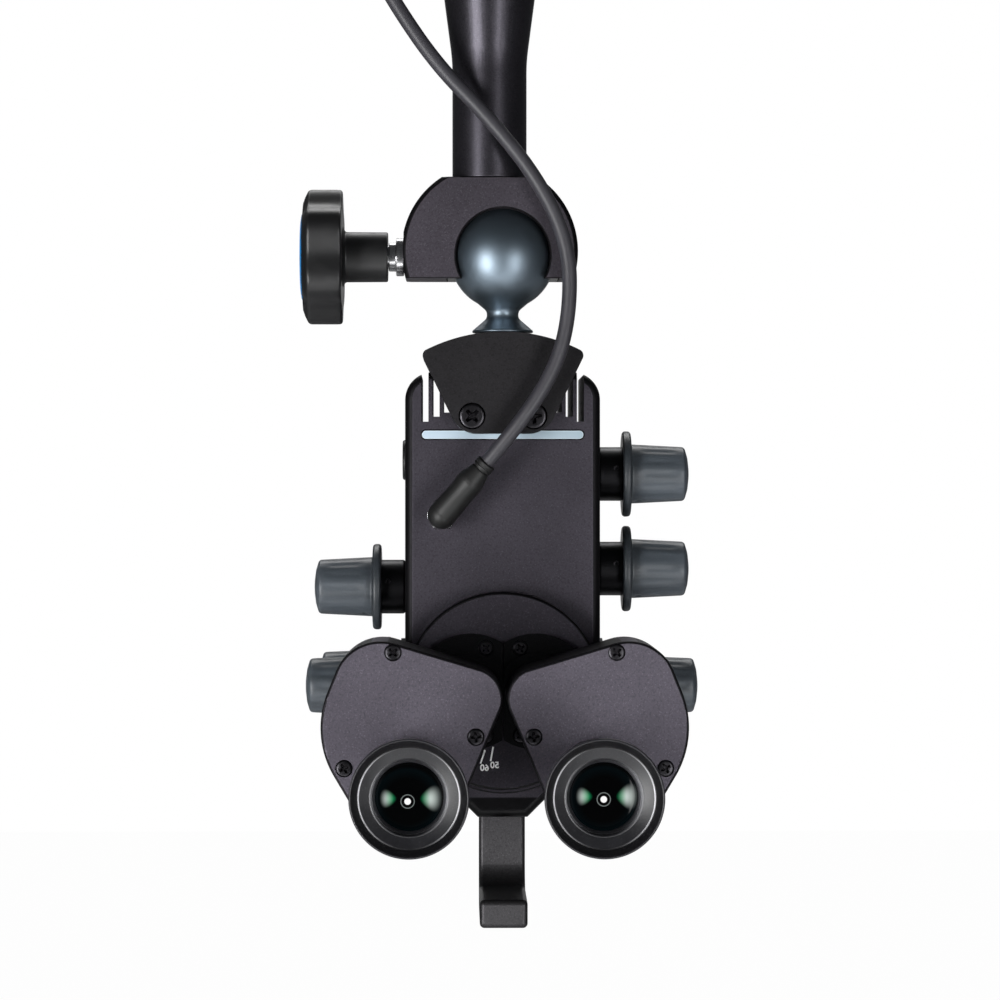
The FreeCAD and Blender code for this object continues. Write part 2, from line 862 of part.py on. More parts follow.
def body_outline(inset, top):
    """The head's outline from its middle, drawn in by an inset, with this top."""
    half = S.body_half - inset
    bottom = -S.body_top - BODY_HEIGHT + inset
    slant = S.body_chamfer - inset * (2 - math.sqrt(2))
    return [
        (-half, top, S.body_corner - inset),
        (-half, bottom + slant),
        (-half + slant, bottom),
        (half - slant, bottom),
        (half, bottom + slant),
        (half, top, S.body_corner - inset),
    ]


def make_housing():
    """Hollow head housing with vent slots, side bosses and holes, and its rear cover."""
    top = -S.body_top
    shell = slab("HousingShell", "Y", body_outline(as_size(0), top), FRONT, BACK, HEAD)
    rounded_edges(shell, S.body_front_round, edge_at("Y", FRONT))
    ceiling = top - S.fin_block
    cavity = slab("HousingCavity", "Y", body_outline(S.wall, ceiling), FRONT + S.wall, BACK, HEAD)
    bosses = []
    for side in (-1, 1):
        bosses.append(rod(f"DrumBoss{side}", "X", S.drum_boss_radius, *sorted_pair(
            side * (S.body_half - S.wall), side * (S.body_half + S.drum_boss_rise)),
            head_point(0, CONTROL_Y, OPTIC_DROP)))
    tools = [cavity]
    tools += vent_slots("Vent", FRONT, BACK)
    strip = strip_outline(S.running_gap)
    tools.append(slab("StripGroove", "Y", strip, FRONT, FRONT + S.strip_depth, HEAD))
    shaft_hole = S.shaft_radius + S.running_gap
    outer = S.body_half + S.drum_boss_rise
    for name, low, high, drop, radius in (
        ("Brightness", 0, outer, S.brightness_drop, shaft_hole),
        ("Filter", 0, outer, FILTER_DROP, shaft_hole),
        ("Spot", -outer, 0, S.spot_drop, shaft_hole),
        ("Drum", -outer, outer, OPTIC_DROP, S.drum_shaft_radius + S.running_gap),
    ):
        tools.append(rod(name + "Hole", "X", radius, low, high, head_point(0, CONTROL_Y, drop)))
    for side in (-1, 1):
        at = head_point(side * S.bracket_screw_side, 0, S.bracket_screw_drop)
        tools.append(rod(f"HousingScrewHole{side}", "Y", S.bracket_screw_radius / 2,
                         FRONT, FRONT + S.wall, at))
        at = head_point(side * S.stereo_half, 0, OPTIC_DROP)
        tools.append(rod(f"HousingWindow{side}", "Y", S.window_radius, FRONT, FRONT + S.wall, at))
    shell_and_bosses = joined("HousingBody", [shell, *bosses])
    node("head_housing", cut("Housing", shell_and_bosses, tools))

    cover = slab("RearCoverPlate", "Y", body_outline(as_size(0), top), BACK, REAR, HEAD)
    rounded_edges(cover, S.rear_plate / 2, edge_at("Y", REAR))
    window = rod("RearWindow", "Y", S.objective_window, BACK, REAR, head_point(0, 0, OPTIC_DROP))
    node("rear_cover", cut("RearCover", cover, [window, *vent_slots("Cover", BACK, REAR)]))


def vent_slots(name, start, end):
    """Upright slots through the head's top, their floors on an arc, from one depth to another."""
    pitch_line = S.body_top + S.vent_depth + S.vent_arc
    count = int(S.vent_count.value)
    slots = []
    for number in range(count):
        side = S.vent_pitch * (number - (count - 1) / 2)
        floor = square_root(S.vent_arc * S.vent_arc - side * side) - pitch_line
        slots.append(block(
            f"{name}Slot{number}",
            head_point(side - S.vent_width / 2, start, -floor),
            head_point(side + S.vent_width / 2, end, S.body_top),
        ))
    return slots


def sorted_pair(first, second):
    """Two sizes with the lower one first."""
    return (first, second) if first.value < second.value else (second, first)


def strip_outline(spare):
    """The light strip's outline with round ends."""
    half = S.strip_half + spare
    reach = S.strip_height / 2 + spare
    middle = -S.strip_drop
    round_end = reach - S.running_gap
    return [
        (-half, middle + reach, round_end),
        (-half, middle - reach, round_end),
        (half, middle - reach, round_end),
        (half, middle + reach, round_end),
    ]


def make_front_details():
    """Light strip, side cap, cable socket and the plug in it."""
    node("light_strip", slab("LightStrip", "Y", strip_outline(as_size(0)),
                             FRONT, FRONT + S.strip_depth, HEAD))
    cap_face = -S.body_half
    cap = turned("SideCap", "X", [
        (cap_face, 0),
        (cap_face, S.side_cap_radius),
        (cap_face - S.side_cap_rise, S.side_cap_radius, S.side_cap_edge),
        (cap_face - S.side_cap_rise, 0),
    ], head_point(0, CONTROL_Y, S.side_cap_drop))
    node("side_cap", cap)
    at = head_point(-S.socket_side, FRONT, S.socket_drop)
    ring = turned("SocketRing", "Y", [
        (0, S.plug_radius + S.running_gap),
        (0, S.socket_radius),
        (-S.socket_height, S.socket_radius, S.socket_edge),
        (-S.socket_height, S.plug_radius + S.running_gap),
    ], at)
    node("cable_socket", ring)
    post = turned("ElbowPost", "Y", [
        (0, 0),
        (0, S.plug_radius),
        (-S.socket_height, S.plug_radius),
        (-S.socket_height, S.elbow_radius),
        (-S.elbow_reach, S.elbow_radius),
        (-S.elbow_reach, 0),
    ], at)
    knuckle = document.addObject("Part::Sphere", "ElbowKnuckle")
    bind(knuckle, "Radius", S.elbow_radius)
    place(knuckle, head_point(-S.socket_side, FRONT - S.elbow_reach, S.socket_drop))
    elbow = joined("Elbow", [post, knuckle])
    relief = document.addObject("Part::Cylinder", "ElbowRelief")
    bind(relief, "Radius", S.boot_radius + S.boot_edge)
    bind(relief, "Height", S.boot_length)
    aimed(relief, ELBOW + BOOT_AIM * S.boot_start.value, BOOT_AIM)
    node("plug_elbow", cut("PlugElbow", elbow, [relief]))
    groove = S.boot_tip_radius - S.boot_rib_depth
    tip = S.boot_length - S.boot_tip
    profile = [
        (S.boot_start, 0),
        (S.boot_start, S.boot_waist_radius),
        (S.boot_waist, S.boot_waist_radius, S.boot_shoulder_round),
        (S.boot_shoulder, S.boot_radius, S.boot_shoulder_round),
        (tip, S.boot_radius, S.boot_edge),
        (tip, groove),
    ]
    for rib in (1, 3):
        profile += [(tip + S.boot_rib * rib, groove), (tip + S.boot_rib * rib, S.boot_tip_radius)]
        if rib == 1:
            after = tip + S.boot_rib * (rib + 1)
            profile += [(after, S.boot_tip_radius), (after, groove)]
    profile += [(S.boot_length, S.boot_tip_radius), (S.boot_length, 0)]
    boot = turned("PlugBoot", "Z", profile, None)
    aimed(boot, ELBOW, BOOT_AIM)
    node("plug_boot", boot)


def make_cord():
    """Cable from the plug's boot to the gland: straight runs joined by tangent arcs."""
    edges = []
    here = CORD_POINTS[0]
    for before, corner, after in zip(CORD_POINTS, CORD_POINTS[1:], CORD_POINTS[2:]):
        incoming = corner - before
        outgoing = after - corner
        turn = incoming.getAngle(outgoing)
        reach = CORD_BEND * min(incoming.Length, outgoing.Length)
        print(f"cord arc radius {reach / math.tan(turn / 2):.1f} mm, turn {math.degrees(turn):.0f}")
        start = corner - incoming.normalize() * reach
        end = corner + outgoing.normalize() * reach
        bisector = (start + end) * 0.5 - corner
        radius = reach / math.tan(turn / 2)
        centre = corner + bisector.normalize() * math.hypot(radius, reach)
        middle = centre + (corner - centre).normalize() * radius
        edges.append(Part.LineSegment(here, start).toShape())
        edges.append(Part.Arc(start, middle, end).toShape())
        here = end
    edges.append(Part.LineSegment(here, CORD_POINTS[-1]).toShape())
    path = Part.Wire(edges)
    radius = S.cord_diameter.value / 2
    ring = Part.Circle(CORD_POINTS[0], BOOT_AIM, radius).toShape()
    tube = path.makePipeShell([Part.Wire([ring])], True, False)
    section = math.pi * radius * radius
    print(f"cord length {path.Length:.1f} mm, volume ratio {tube.Volume / (section * path.Length):.4f}")
    cord = document.addObject("Part::Feature", "HeadCable")
    cord.Shape = tube
    node("head_cable", cord)


def grip_profile(start, length, way):
    """Profile of a silicone grip that begins at start and points along way."""
    def out(distance):
        return start + way * as_size(distance)

    core = S.grip_core_radius + S.running_gap
    flange_end = S.grip_flange
    return [
        (out(0), core),
        (out(0), S.grip_flange_radius, S.grip_flange_edge),
        (out(flange_end), S.grip_flange_radius, S.grip_flange_edge),
        (out(flange_end), S.grip_radius, S.grip_root_round),
        (out(length), S.grip_tip_radius, S.grip_tip_round),
        (out(length), 0),
        (out(S.grip_core_length), 0),
        (out(S.grip_core_length), core),
    ]


def make_control(label, drop, way, shaft_label, inner):
    """One side control: silicone grip and its shaft with the collar disc and inner barrel."""
    at = head_point(0, CONTROL_Y, drop)
    disc_start = way * (S.body_half + S.free_gap)
    disc_end = way * S.collar_disc_end
    core_end = disc_end + way * (S.grip_core_length - S.free_gap)
    shaft = [
        (disc_start, S.shaft_radius),
        (disc_start, S.collar_disc_radius, S.collar_disc_edge),
        (disc_end, S.collar_disc_radius),
        (disc_end, S.grip_core_radius),
        (core_end, S.grip_core_radius),
        (core_end, 0),
    ]
    if inner == "stub":
        tip = way * (S.body_half - S.wall - S.pot_length / 2)
        shaft += [(tip, 0), (tip, S.shaft_radius)]
        node(shaft_label, turned(label + "Shaft", "X", shaft, at))
    else:
        near = way * (S.barrel_start + S.barrel_length)
        far = way * S.barrel_start
        shaft += [(far, 0), (far, S.barrel_radius), (near, S.barrel_radius), (near, S.shaft_radius)]
        blank = turned(label + "Shaft", "X", shaft, at)
        beam = rod(label + "Beam", "Z", S.beam_radius, -S.barrel_radius, S.barrel_radius,
                   head_point(way * BEAM_SIDE, CONTROL_Y, drop))
        node(shaft_label, cut(label + "Barrel", blank, [beam]))
    grip = turned(label + "Grip", "X", grip_profile(disc_end, S.grip_length, way), at)
    node(label + "_grip", grip)


def make_controls():
    """Brightness, filter and light-spot controls."""
    make_control("brightness", S.brightness_drop, 1, "brightness_shaft", "stub")
    make_control("filter", FILTER_DROP, 1, "filter_barrel", "barrel")
    make_control("spot", S.spot_drop, -1, "spot_barrel", "barrel")


def make_drum():
    """Magnification drum with its lens channels, lenses and two grips."""
    at = head_point(0, CONTROL_Y, OPTIC_DROP)
    disc_start = S.body_half + S.drum_boss_rise + S.free_gap
    disc_end = S.collar_disc_end
    core_end = disc_end + S.grip_core_length - S.free_gap
    right = [
        (S.drum_half, S.drum_radius),
        (S.drum_half, S.drum_shaft_radius),
        (disc_start, S.drum_shaft_radius),
        (disc_start, S.collar_disc_radius),
        (disc_end, S.collar_disc_radius),
        (disc_end, S.grip_core_radius),
        (core_end, S.grip_core_radius),
        (core_end, 0),
    ]
    left = [(-along, radius) for along, radius in reversed(right)]
    blank = turned("DrumTurned", "X", left + right, at)
    channels = []
    lenses = []
    for side in (-1, 1):
        for step in range(3):
            turn = FreeCAD.Rotation(Vector(1, 0, 0), 60 * step - 90)
            middle = head_point(side * S.stereo_half, CONTROL_Y, OPTIC_DROP)
            channel = document.addObject("Part::Cylinder", f"DrumChannel{side}{step}")
            bind(channel, "Radius", S.drum_channel_radius)
            bind(channel, "Height", S.drum_radius * 2)
            aim = turn.multVec(Vector(0, 0, 1))
            channel.Placement = FreeCAD.Placement(Vector(), turn)
            place(channel, [m - a * S.drum_radius for m, a in zip(map(as_size, middle), aim)])
            channels.append(channel)
            if step == 0:
                continue
            for end, reach in enumerate((S.drum_lens_reach, S.drum_lens_thickness - S.drum_lens_reach)):
                lens = document.addObject("Part::Cylinder", f"DrumLens{side}{step}{end}")
                bind(lens, "Radius", S.drum_channel_radius - S.running_gap)
                bind(lens, "Height", S.drum_lens_thickness)
                lens.Placement = FreeCAD.Placement(Vector(), turn)
                back = reach - S.drum_lens_thickness
                place(lens, [m + a * back for m, a in zip(map(as_size, middle), aim)])
                lenses.append(lens)
    node("magnification_drum", cut("Drum", blank, channels))
    node("drum_lenses", joined("DrumLenses", lenses))
    for label, way in (("left", -1), ("right", 1)):
        profile = grip_profile(way * disc_end, S.drum_grip_length, way)
        node(f"{label}_drum_grip", turned(f"DrumGrip{label}", "X", profile, at))


def make_lamp():
    """Lamp module, collector lenses, fold mirror, dimmer and driver board inside the head."""
    ceiling = S.body_top + S.fin_block
    lamp_front = CONTROL_Y - S.lamp_depth / 2
    pot_start = S.body_half - S.wall - S.pot_length
    right_side = pot_start - S.free_gap * 3
    lamp = block(
        "Lamp",
        head_point(-S.lamp_half, lamp_front, ceiling + S.lamp_height),
        head_point(right_side, lamp_front + S.lamp_depth, ceiling),
    )
    node("lamp_module", lamp)
    collectors = []
    low = ceiling + S.lamp_height
    for side in (-1, 1):
        at = head_point(side * BEAM_SIDE, CONTROL_Y, low)
        collectors.append(turned(f"Collector{side}", "Z", [
            (0, 0),
            (0, S.collector_radius),
            (-S.collector_rim, S.collector_radius),
            (-S.collector_thickness, S.collector_radius - S.collector_taper),
            (-S.collector_thickness, 0),
        ], at))
    node("collector_lenses", joined("Collectors", collectors))
    drum_top = OPTIC_DROP - S.drum_radius
    mirror_back = BACK
    mirror = slab("FoldMirror", "X", [
        (mirror_back, -drum_top + S.mirror_height),
        (mirror_back - S.mirror_depth, -drum_top + S.mirror_height),
        (mirror_back, -drum_top),
    ], -BEAM_SIDE - S.beam_radius, BEAM_SIDE + S.beam_radius, HEAD)
    node("fold_mirror", mirror)
    at = head_point(0, CONTROL_Y, S.brightness_drop)
    pot = turned("Dimmer", "X", [
        (pot_start, 0),
        (pot_start, S.pot_radius),
        (pot_start + S.pot_length, S.pot_radius),
        (pot_start + S.pot_length, S.shaft_radius + S.running_gap),
        (pot_start + S.pot_length / 2 - S.free_gap, S.shaft_radius + S.running_gap),
        (pot_start + S.pot_length / 2 - S.free_gap, 0),
    ], at)
    node("dimmer", pot)
    board = block(
        "DriverBoard",
        head_point(-S.board_width / 2, BACK - S.board_thickness, S.board_drop + S.board_height),
        head_point(S.board_width / 2, BACK, S.board_drop),
    )
    node("driver_board", board)


def make_base():
    """Binocular base disc, the two pivot hubs and their screws."""
    back = FRONT
    face = back - S.base_depth
    disc = turned("BaseDisc", "Y", [
        (back, 0),
        (back, BASE_STEP_RADIUS),
        (back - S.base_step_depth, BASE_STEP_RADIUS, S.base_step_edge),
        (back - S.base_step_depth, BASE_RADIUS),
        (face, BASE_RADIUS, S.base_edge),
        (face, 0),
    ], head_point(0, 0, OPTIC_DROP))
    windows = []
    for side in (-1, 1):
        at = head_point(side * S.stereo_half, 0, OPTIC_DROP)
        windows.append(rod(f"BaseWindow{side}", "Y", S.window_radius, face, back, at))
    node("binocular_base", cut("Base", disc, windows))
    front = face - S.hub_depth
    flange = face - S.hub_flange
    hubs = []
    screws = []
    for side in (-1, 1):
        at = head_point(side * S.stereo_half, 0, OPTIC_DROP)
        disc = joined(f"HubDisc{side}", [
            rod(f"HubFlange{side}", "Y", S.hub_radius, flange, face, at),
            rod(f"HubRing{side}", "Y", S.hub_ring_radius, front, face, at),
        ])
        half_start, half_end = sorted_pair(side * S.hub_split, side * (S.stereo_half + S.hub_radius))
        low = head_point(half_start, front, OPTIC_DROP + S.hub_radius)
        high = head_point(half_end, face, OPTIC_DROP - S.hub_radius)
        half = document.addObject("Part::Common", f"HubHalf{side}")
        half.Base = disc
        half.Tool = block(f"HubSide{side}", low, high)
        tools = [
            rod(f"HubBush{side}", "Y", S.spigot_radius + S.running_gap,
                front, -S.ear_back + S.spigot_length + S.free_gap, at),
            rod(f"HubWindow{side}", "Y", S.window_radius, front, face, at),
        ]
        for rise in (-1, 1):
            x = side * (S.stereo_half - S.hub_screw_side)
            screw_at = head_point(x, flange, OPTIC_DROP + rise * S.hub_screw_rise)
            key = f"{side}{rise}"
            tools.append(rod("HubScrewSeat" + key, "Y", S.hub_screw_radius + S.running_gap,
                             0, S.hub_screw_head, screw_at))
            screws.append(rod("HubScrew" + key, "Y", S.hub_screw_radius,
                              0, S.hub_screw_head, screw_at))
        hubs.append(cut(f"Hub{side}", half, tools))
    node("left_pivot_hub", hubs[0])
    node("right_pivot_hub", hubs[1])
    node("hub_screws", joined("HubScrews", screws))


def ear_circles(side, inset):
    """The circles that an ear's outline wraps, anticlockwise, drawn in by an inset."""
    circles = [
        (side * S.stereo_half, -OPTIC_DROP, S.nose_radius - inset),
        (side * S.crown_side, -CROWN_DROP, S.crown_radius - inset),
        (side * S.cheek_side, -CHEEK_DROP, S.cheek_radius - inset),
        (side * S.eye_arc_side, -EYE_DROP, S.eye_arc - inset),
    ]
    return circles if side < 0 else circles[::-1]


EAR_SCREWS = (
    (S.crown_side - S.crown_screw_in, CROWN_DROP - S.crown_screw_up),
    (S.stereo_half - S.nose_screw_in, OPTIC_DROP + S.nose_screw_down),
    (S.eye_side + S.eye_screw_out, EYE_DROP - S.eye_screw_up),
)


def make_ear(label, side):
    """One ear: hollow housing, cover, screws, prisms and the eyepiece."""
    back = -S.ear_back
    front = -S.ear_front
    seam = front + S.ear_cover
    shell = slab(label + "EarShell", "Y", ear_circles(side, as_size(0)), seam, back, HEAD, draw_belt)
    rounded_edges(shell, S.ear_edge, edge_at("Y", back))
    cavity = slab(label + "EarCavity", "Y", ear_circles(side, S.ear_wall),
                  seam, back - S.ear_wall, HEAD, draw_belt)
    hub = head_point(side * S.stereo_half, 0, OPTIC_DROP)
    spigot = rod(label + "Spigot", "Y", S.spigot_radius, back, back + S.spigot_length, hub)
    window = rod(label + "EarWindow", "Y", S.window_radius, back - S.ear_wall, back + S.spigot_length, hub)
    body = joined(label + "EarBody", [shell, spigot])
    lugs = []
    drills = []
    screws = []
    shank_tools = []
    for number, (out, drop) in enumerate(EAR_SCREWS):
        at = head_point(side * out, front, drop)
        key = f"{label}{number}"
        shank_tools.append(rod("EarScrewHole" + key, "Y", S.ear_screw_shank + S.running_gap,
                               0, S.ear_cover, at))
        shank_tools.append(rod("EarScrewSeat" + key, "Y", S.ear_screw_radius + S.running_gap,
                               0, S.ear_screw_head, at))
        screws.append(turned("EarScrew" + key, "Y", [
            (S.ear_screw_sink, 0),
            (S.ear_screw_sink, S.ear_screw_radius),
            (S.ear_screw_head, S.ear_screw_radius),
            (S.ear_screw_head, S.ear_screw_shank),
            (S.ear_screw_length, S.ear_screw_shank),
            (S.ear_screw_length, 0),
        ], at))
        lugs.append(rod("EarLug" + key, "Y", S.ear_screw_radius,
                        S.ear_cover, S.ear_cover + S.ear_lug, at))
        drills.append(rod("EarLugHole" + key, "Y", S.ear_screw_shank + S.running_gap,
                          S.ear_cover, S.ear_screw_length + S.ear_drill_spare, at))
    hollow = cut(label + "EarHollow", body, [cavity, window])
    with_lugs = joined(label + "EarWithLugs", [hollow, *lugs])
    node(f"{label}_ear_housing", cut(label + "EarHousing", with_lugs, drills))

    cover = slab(label + "EarCoverPlate", "Y", ear_circles(side, as_size(0)), front, seam, HEAD, draw_belt)
    rounded_edges(cover, S.ear_edge, edge_at("Y", front))
    eye = head_point(side * S.eye_side, 0, EYE_DROP)
    port = rod(label + "EyePort", "Y", S.eye_barrel_radius + S.running_gap, front, seam, eye)
    node(f"{label}_ear_cover", cut(label + "EarCover", cover, [port, *shank_tools]))
    node(f"{label}_ear_screws", joined(label + "EarScrews", screws))
    make_prism(label, side)
    make_eyepiece(label, side, eye)


def make_prism(label, side):
    """Rhomboid prism that carries the beam from the pivot to the eyepiece."""
    back = -S.ear_back - S.ear_wall - S.prism_gap
    half = S.prism_half
    along = (S.eye_side - S.stereo_half, EYE_DROP - OPTIC_DROP)
    length = square_root(along[0] * along[0] + along[1] * along[1])
    ux, uz = along[0] / length, along[1] / length
    corners = []
    for reach, across in ((-half, half), (-half, -half), (length + half, -half), (length + half, half)):
        x = side * (S.stereo_half + ux * reach + uz * across)
        z = -(OPTIC_DROP + uz * reach - ux * across)
        corners.append((x, z))
    prism = slab(label + "Prism", "Y", corners, back - half * 2, back, HEAD)
    node(f"{label}_prism", prism)


def make_eyepiece(label, side, eye):
    """Eyepiece barrel, its eye lens and the diopter eyecup that turns on it."""
    front = -S.eye_barrel_front
    seat = -S.ear_front
    lens_hole = S.eye_lens_radius + S.running_gap
    barrel = turned(label + "EyeBarrel", "Y", [
        (seat + S.eye_barrel_seat, lens_hole),
        (seat + S.eye_barrel_seat, S.eye_barrel_radius),
        (seat, S.eye_barrel_radius),
        (seat, S.barrel_flange_radius),
        (seat - S.barrel_flange, S.barrel_flange_radius, S.barrel_flange_edge),
        (seat - S.barrel_flange, S.eye_barrel_radius),
        (front, S.eye_barrel_radius, S.barrel_edge),
        (front, lens_hole),
    ], eye)
    node(f"{label}_eyepiece_barrel", barrel)
    lens_front = front + S.eye_lens_sink
    lens = turned(label + "EyeLens", "Y", [
        (lens_front, 0),
        (lens_front + S.eye_lens_crown, S.eye_lens_radius),
        (lens_front + S.eye_lens_thickness, S.eye_lens_radius),
        (lens_front + S.eye_lens_thickness, 0),
    ], eye)
    node(f"{label}_eye_lens", lens)
    bore = S.eye_barrel_radius + S.free_gap
    rim = -S.cup_front
    cup = turned(label + "Eyecup", "Y", [
        (-S.cup_back, bore),
        (-S.cup_back, S.cup_waist_radius, S.cup_edge),
        (rim + S.cup_flare, S.cup_waist_radius, S.cup_flare_round),
        (rim + S.cup_rim, S.cup_radius, S.cup_rim_round),
        (rim, S.cup_radius, S.cup_edge),
        (rim, S.cup_recess_radius, S.cup_inner_edge),
        (rim + S.cup_recess, S.cup_recess_radius),
        (rim + S.cup_recess, bore),
    ], eye)
    node(f"{label}_eyecup", cup)


def make_handle():
    """L-shaped handle bar under the head."""
    top = -S.body_top - BODY_HEIGHT
    bottom = top - S.handle_height
    front = S.handle_back - S.handle_reach
    thick = S.handle_thickness
    bar = slab("HandleBar", "X", [
        (S.handle_back - thick, top),
        (S.handle_back - thick, bottom + thick, S.handle_inner_round),
        (front, bottom + thick, S.handle_tip_round),
        (front, bottom, S.handle_tip_round),
        (S.handle_back, bottom, S.handle_outer_round),
        (S.handle_back, top),
    ], -S.handle_half, S.handle_half, HEAD)
    sides = (edge_at("X", -S.handle_half), edge_at("X", S.handle_half))
    level = top.value

    def side_edge(edge):
        return any(test(edge) for test in sides) and edge.BoundBox.ZMin < level - 0.01

    rounded_edges(bar, S.handle_edge, side_edge)
    node("handle_bar", bar)


def make_objective():
    """Objective housing behind the head, its glass, the focusing cell and the focus control."""
    at = head_point(0, 0, OPTIC_DROP)
    start = REAR
    end = start + S.objective_length
    step = end - S.objective_mouth
    floor = start + S.wall
    shell = turned("ObjectiveShell", "Y", [
        (start, S.objective_window),
        (start, S.objective_radius),
        (end - S.objective_nose - S.objective_taper, S.objective_radius, S.objective_edge),
        (end - S.objective_nose, S.objective_nose_radius, S.objective_nose_edge),
        (end, S.objective_nose_radius, S.objective_nose_edge),
        (end, S.objective_mouth_radius),
        (step, S.objective_mouth_radius),
        (step, S.objective_bore),
        (floor, S.objective_bore),
        (floor, S.objective_window),
    ], at)
    focus = head_point(0, S.focus_depth, OPTIC_DROP)
    hole = rod("FocusHole", "X", S.shaft_radius + S.running_gap, -S.objective_radius, 0, focus)
    node("objective_housing", cut("Objective", shell, [hole]))
    glass = rod("FrontGlassDisc", "Y", S.objective_bore - S.running_gap, step - S.front_glass, step, at)
    node("front_glass", glass)

    cell_start = S.cell_start
    cell_end = cell_start + S.cell_length
    cell_ring = turned("CellRing", "Y", [
        (cell_start, S.cell_lens_radius + S.running_gap),
        (cell_start, S.objective_bore - S.running_gap),
        (cell_end, S.objective_bore - S.running_gap),
        (cell_end, S.cell_lens_radius + S.running_gap),
    ], at)
    groove_half = S.pinion_radius + S.free_gap
    groove = block(
        "CellGroove",
        head_point(-S.objective_bore, cell_start, OPTIC_DROP + groove_half),
        head_point(-S.objective_bore + S.pinion_length + S.free_gap, cell_end, OPTIC_DROP - groove_half),
    )
    node("lens_cell", cut("LensCell", cell_ring, [groove]))
    lens_start = cell_start + (S.cell_length - S.cell_lens_thickness) / 2
    lens = rod("CellLens", "Y", S.cell_lens_radius, lens_start, lens_start + S.cell_lens_thickness, at)
    node("focusing_lens", lens)

    disc_start = -S.focus_collar_start
    disc_end = -S.focus_grip_start
    core_end = disc_end - S.grip_core_length + S.free_gap
    pinion_start = -S.objective_bore + S.free_gap * 3
    shaft = turned("FocusShaft", "X", [
        (pinion_start + S.pinion_length - S.free_gap * 3, 0),
        (pinion_start + S.pinion_length - S.free_gap * 3, S.pinion_radius),
        (pinion_start, S.pinion_radius),
        (pinion_start, S.shaft_radius),
        (disc_start, S.shaft_radius),
        (disc_start, S.collar_disc_radius),
        (disc_end, S.collar_disc_radius),
        (disc_end, S.grip_core_radius),
        (core_end, S.grip_core_radius),
        (core_end, 0),
    ], focus)
    node("focus_shaft", shaft)
    profile = grip_profile(disc_end, S.drum_grip_length, -1)
    node("focus_grip", turned("FocusGrip", "X", profile, focus))


def build():
    """Make every piece."""
    make_arm()
    make_clamp()
    make_clamp_knob()
    make_ball_stud()
    make_bracket()
    make_housing()
    make_front_details()
    make_cord()
    make_controls()
    make_drum()
    make_lamp()
    make_base()
    make_ear("left", -1)
    make_ear("right", 1)
    make_handle()
    make_objective()
    document.recompute()


def check():
    """Stop on any failed object and on any piece that isn't a valid solid."""
    for thing in document.Objects:
        if {"Invalid", "Error"} & set(thing.State):
            raise RuntimeError(f"{thing.Name} failed: {thing.State}")
    for thing in nodes:
        shape = thing.Shape
        if shape.isNull() or not shape.isValid() or not shape.Solids:
            raise RuntimeError(f"{thing.Label} has no valid solid")


def write():
    """Write one file for each piece."""
    os.makedirs("parts", exist_ok=True)
    for thing in nodes:
        thing.Shape.exportStep(f"parts/{thing.Label}.step")
        print(f"{thing.Label}: {len(thing.Shape.Solids)} solid, {thing.Shape.Volume:.0f} mm3")


build()
check()
write()
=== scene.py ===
"""Looks of a suspended binocular microscope head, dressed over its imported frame."""

import json
import logging
import math
from dataclasses import dataclass
from enum import Enum
from typing import Any, Callable, Iterable, Sequence

import bmesh
import bpy
from mathutils import Matrix, Vector


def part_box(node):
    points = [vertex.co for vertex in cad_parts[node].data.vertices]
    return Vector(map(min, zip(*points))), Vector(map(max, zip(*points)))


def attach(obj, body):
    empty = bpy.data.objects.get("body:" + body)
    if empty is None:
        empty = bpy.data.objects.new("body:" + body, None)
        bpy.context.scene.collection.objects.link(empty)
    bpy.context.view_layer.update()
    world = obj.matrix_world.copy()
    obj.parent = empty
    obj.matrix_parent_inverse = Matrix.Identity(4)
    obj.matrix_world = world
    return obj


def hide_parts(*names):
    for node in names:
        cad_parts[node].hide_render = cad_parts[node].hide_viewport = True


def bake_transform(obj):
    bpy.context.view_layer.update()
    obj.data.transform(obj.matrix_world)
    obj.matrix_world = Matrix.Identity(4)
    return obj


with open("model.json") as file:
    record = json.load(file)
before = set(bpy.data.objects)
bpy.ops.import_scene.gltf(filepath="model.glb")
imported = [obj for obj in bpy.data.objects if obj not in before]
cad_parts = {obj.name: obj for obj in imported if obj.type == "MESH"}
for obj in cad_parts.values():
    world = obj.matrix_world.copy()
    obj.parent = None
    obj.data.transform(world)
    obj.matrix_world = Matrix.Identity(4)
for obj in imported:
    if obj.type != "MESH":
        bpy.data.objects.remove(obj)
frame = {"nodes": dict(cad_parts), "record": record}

MM = 0.001
log = logging.getLogger("microscope")

BMesh = bmesh.types.BMesh
Material = bpy.types.Material
Mesh = bpy.types.Mesh
Object = bpy.types.Object
Profile = Sequence[tuple[float, ...]]
Point = tuple[float, float, float]
Colour = tuple[float, float, float, float]

# Places of the frame in millimetres, from the arm socket's mouth
HEAD_X = 4.5
BALL_Z = -161.9
CONTROL_Y = 25.0
FOCUS_Y = 75.0

# Drops below the ball's centre in millimetres
STRIP_DROP = 60.8
BRIGHTNESS_DROP = 74.0
FILTER_DROP = 107.1
SPOT_DROP = 113.4
OPTIC_DROP = 147.9
HEAD_FOOT_DROP = 184.5
OPTIC_Z = BALL_Z - OPTIC_DROP


def linear(red: int, green: int, blue: int) -> Colour:
    """Turn a screen colour of 0 to 255 into the linear one that a shader takes.

    Args:
        red: Red of 0 to 255.
        green: Green of 0 to 255.
        blue: Blue of 0 to 255.

    Returns:
        The linear colour, opaque.
    """
    def channel(value: int) -> float:
        """Turn one of the three."""
        share = value / 255
        return share / 12.92 if share <= 0.04045 else ((share + 0.055) / 1.055) ** 2.4

    return (channel(red), channel(green), channel(blue), 1.0)


def scaled(colour: Colour, factor: float, lift: float = 0.0) -> Colour:
    """A colour made lighter or darker."""
    red, green, blue = (min(1.0, part * factor + lift) for part in colour[:3])
    return (red, green, blue, 1.0)


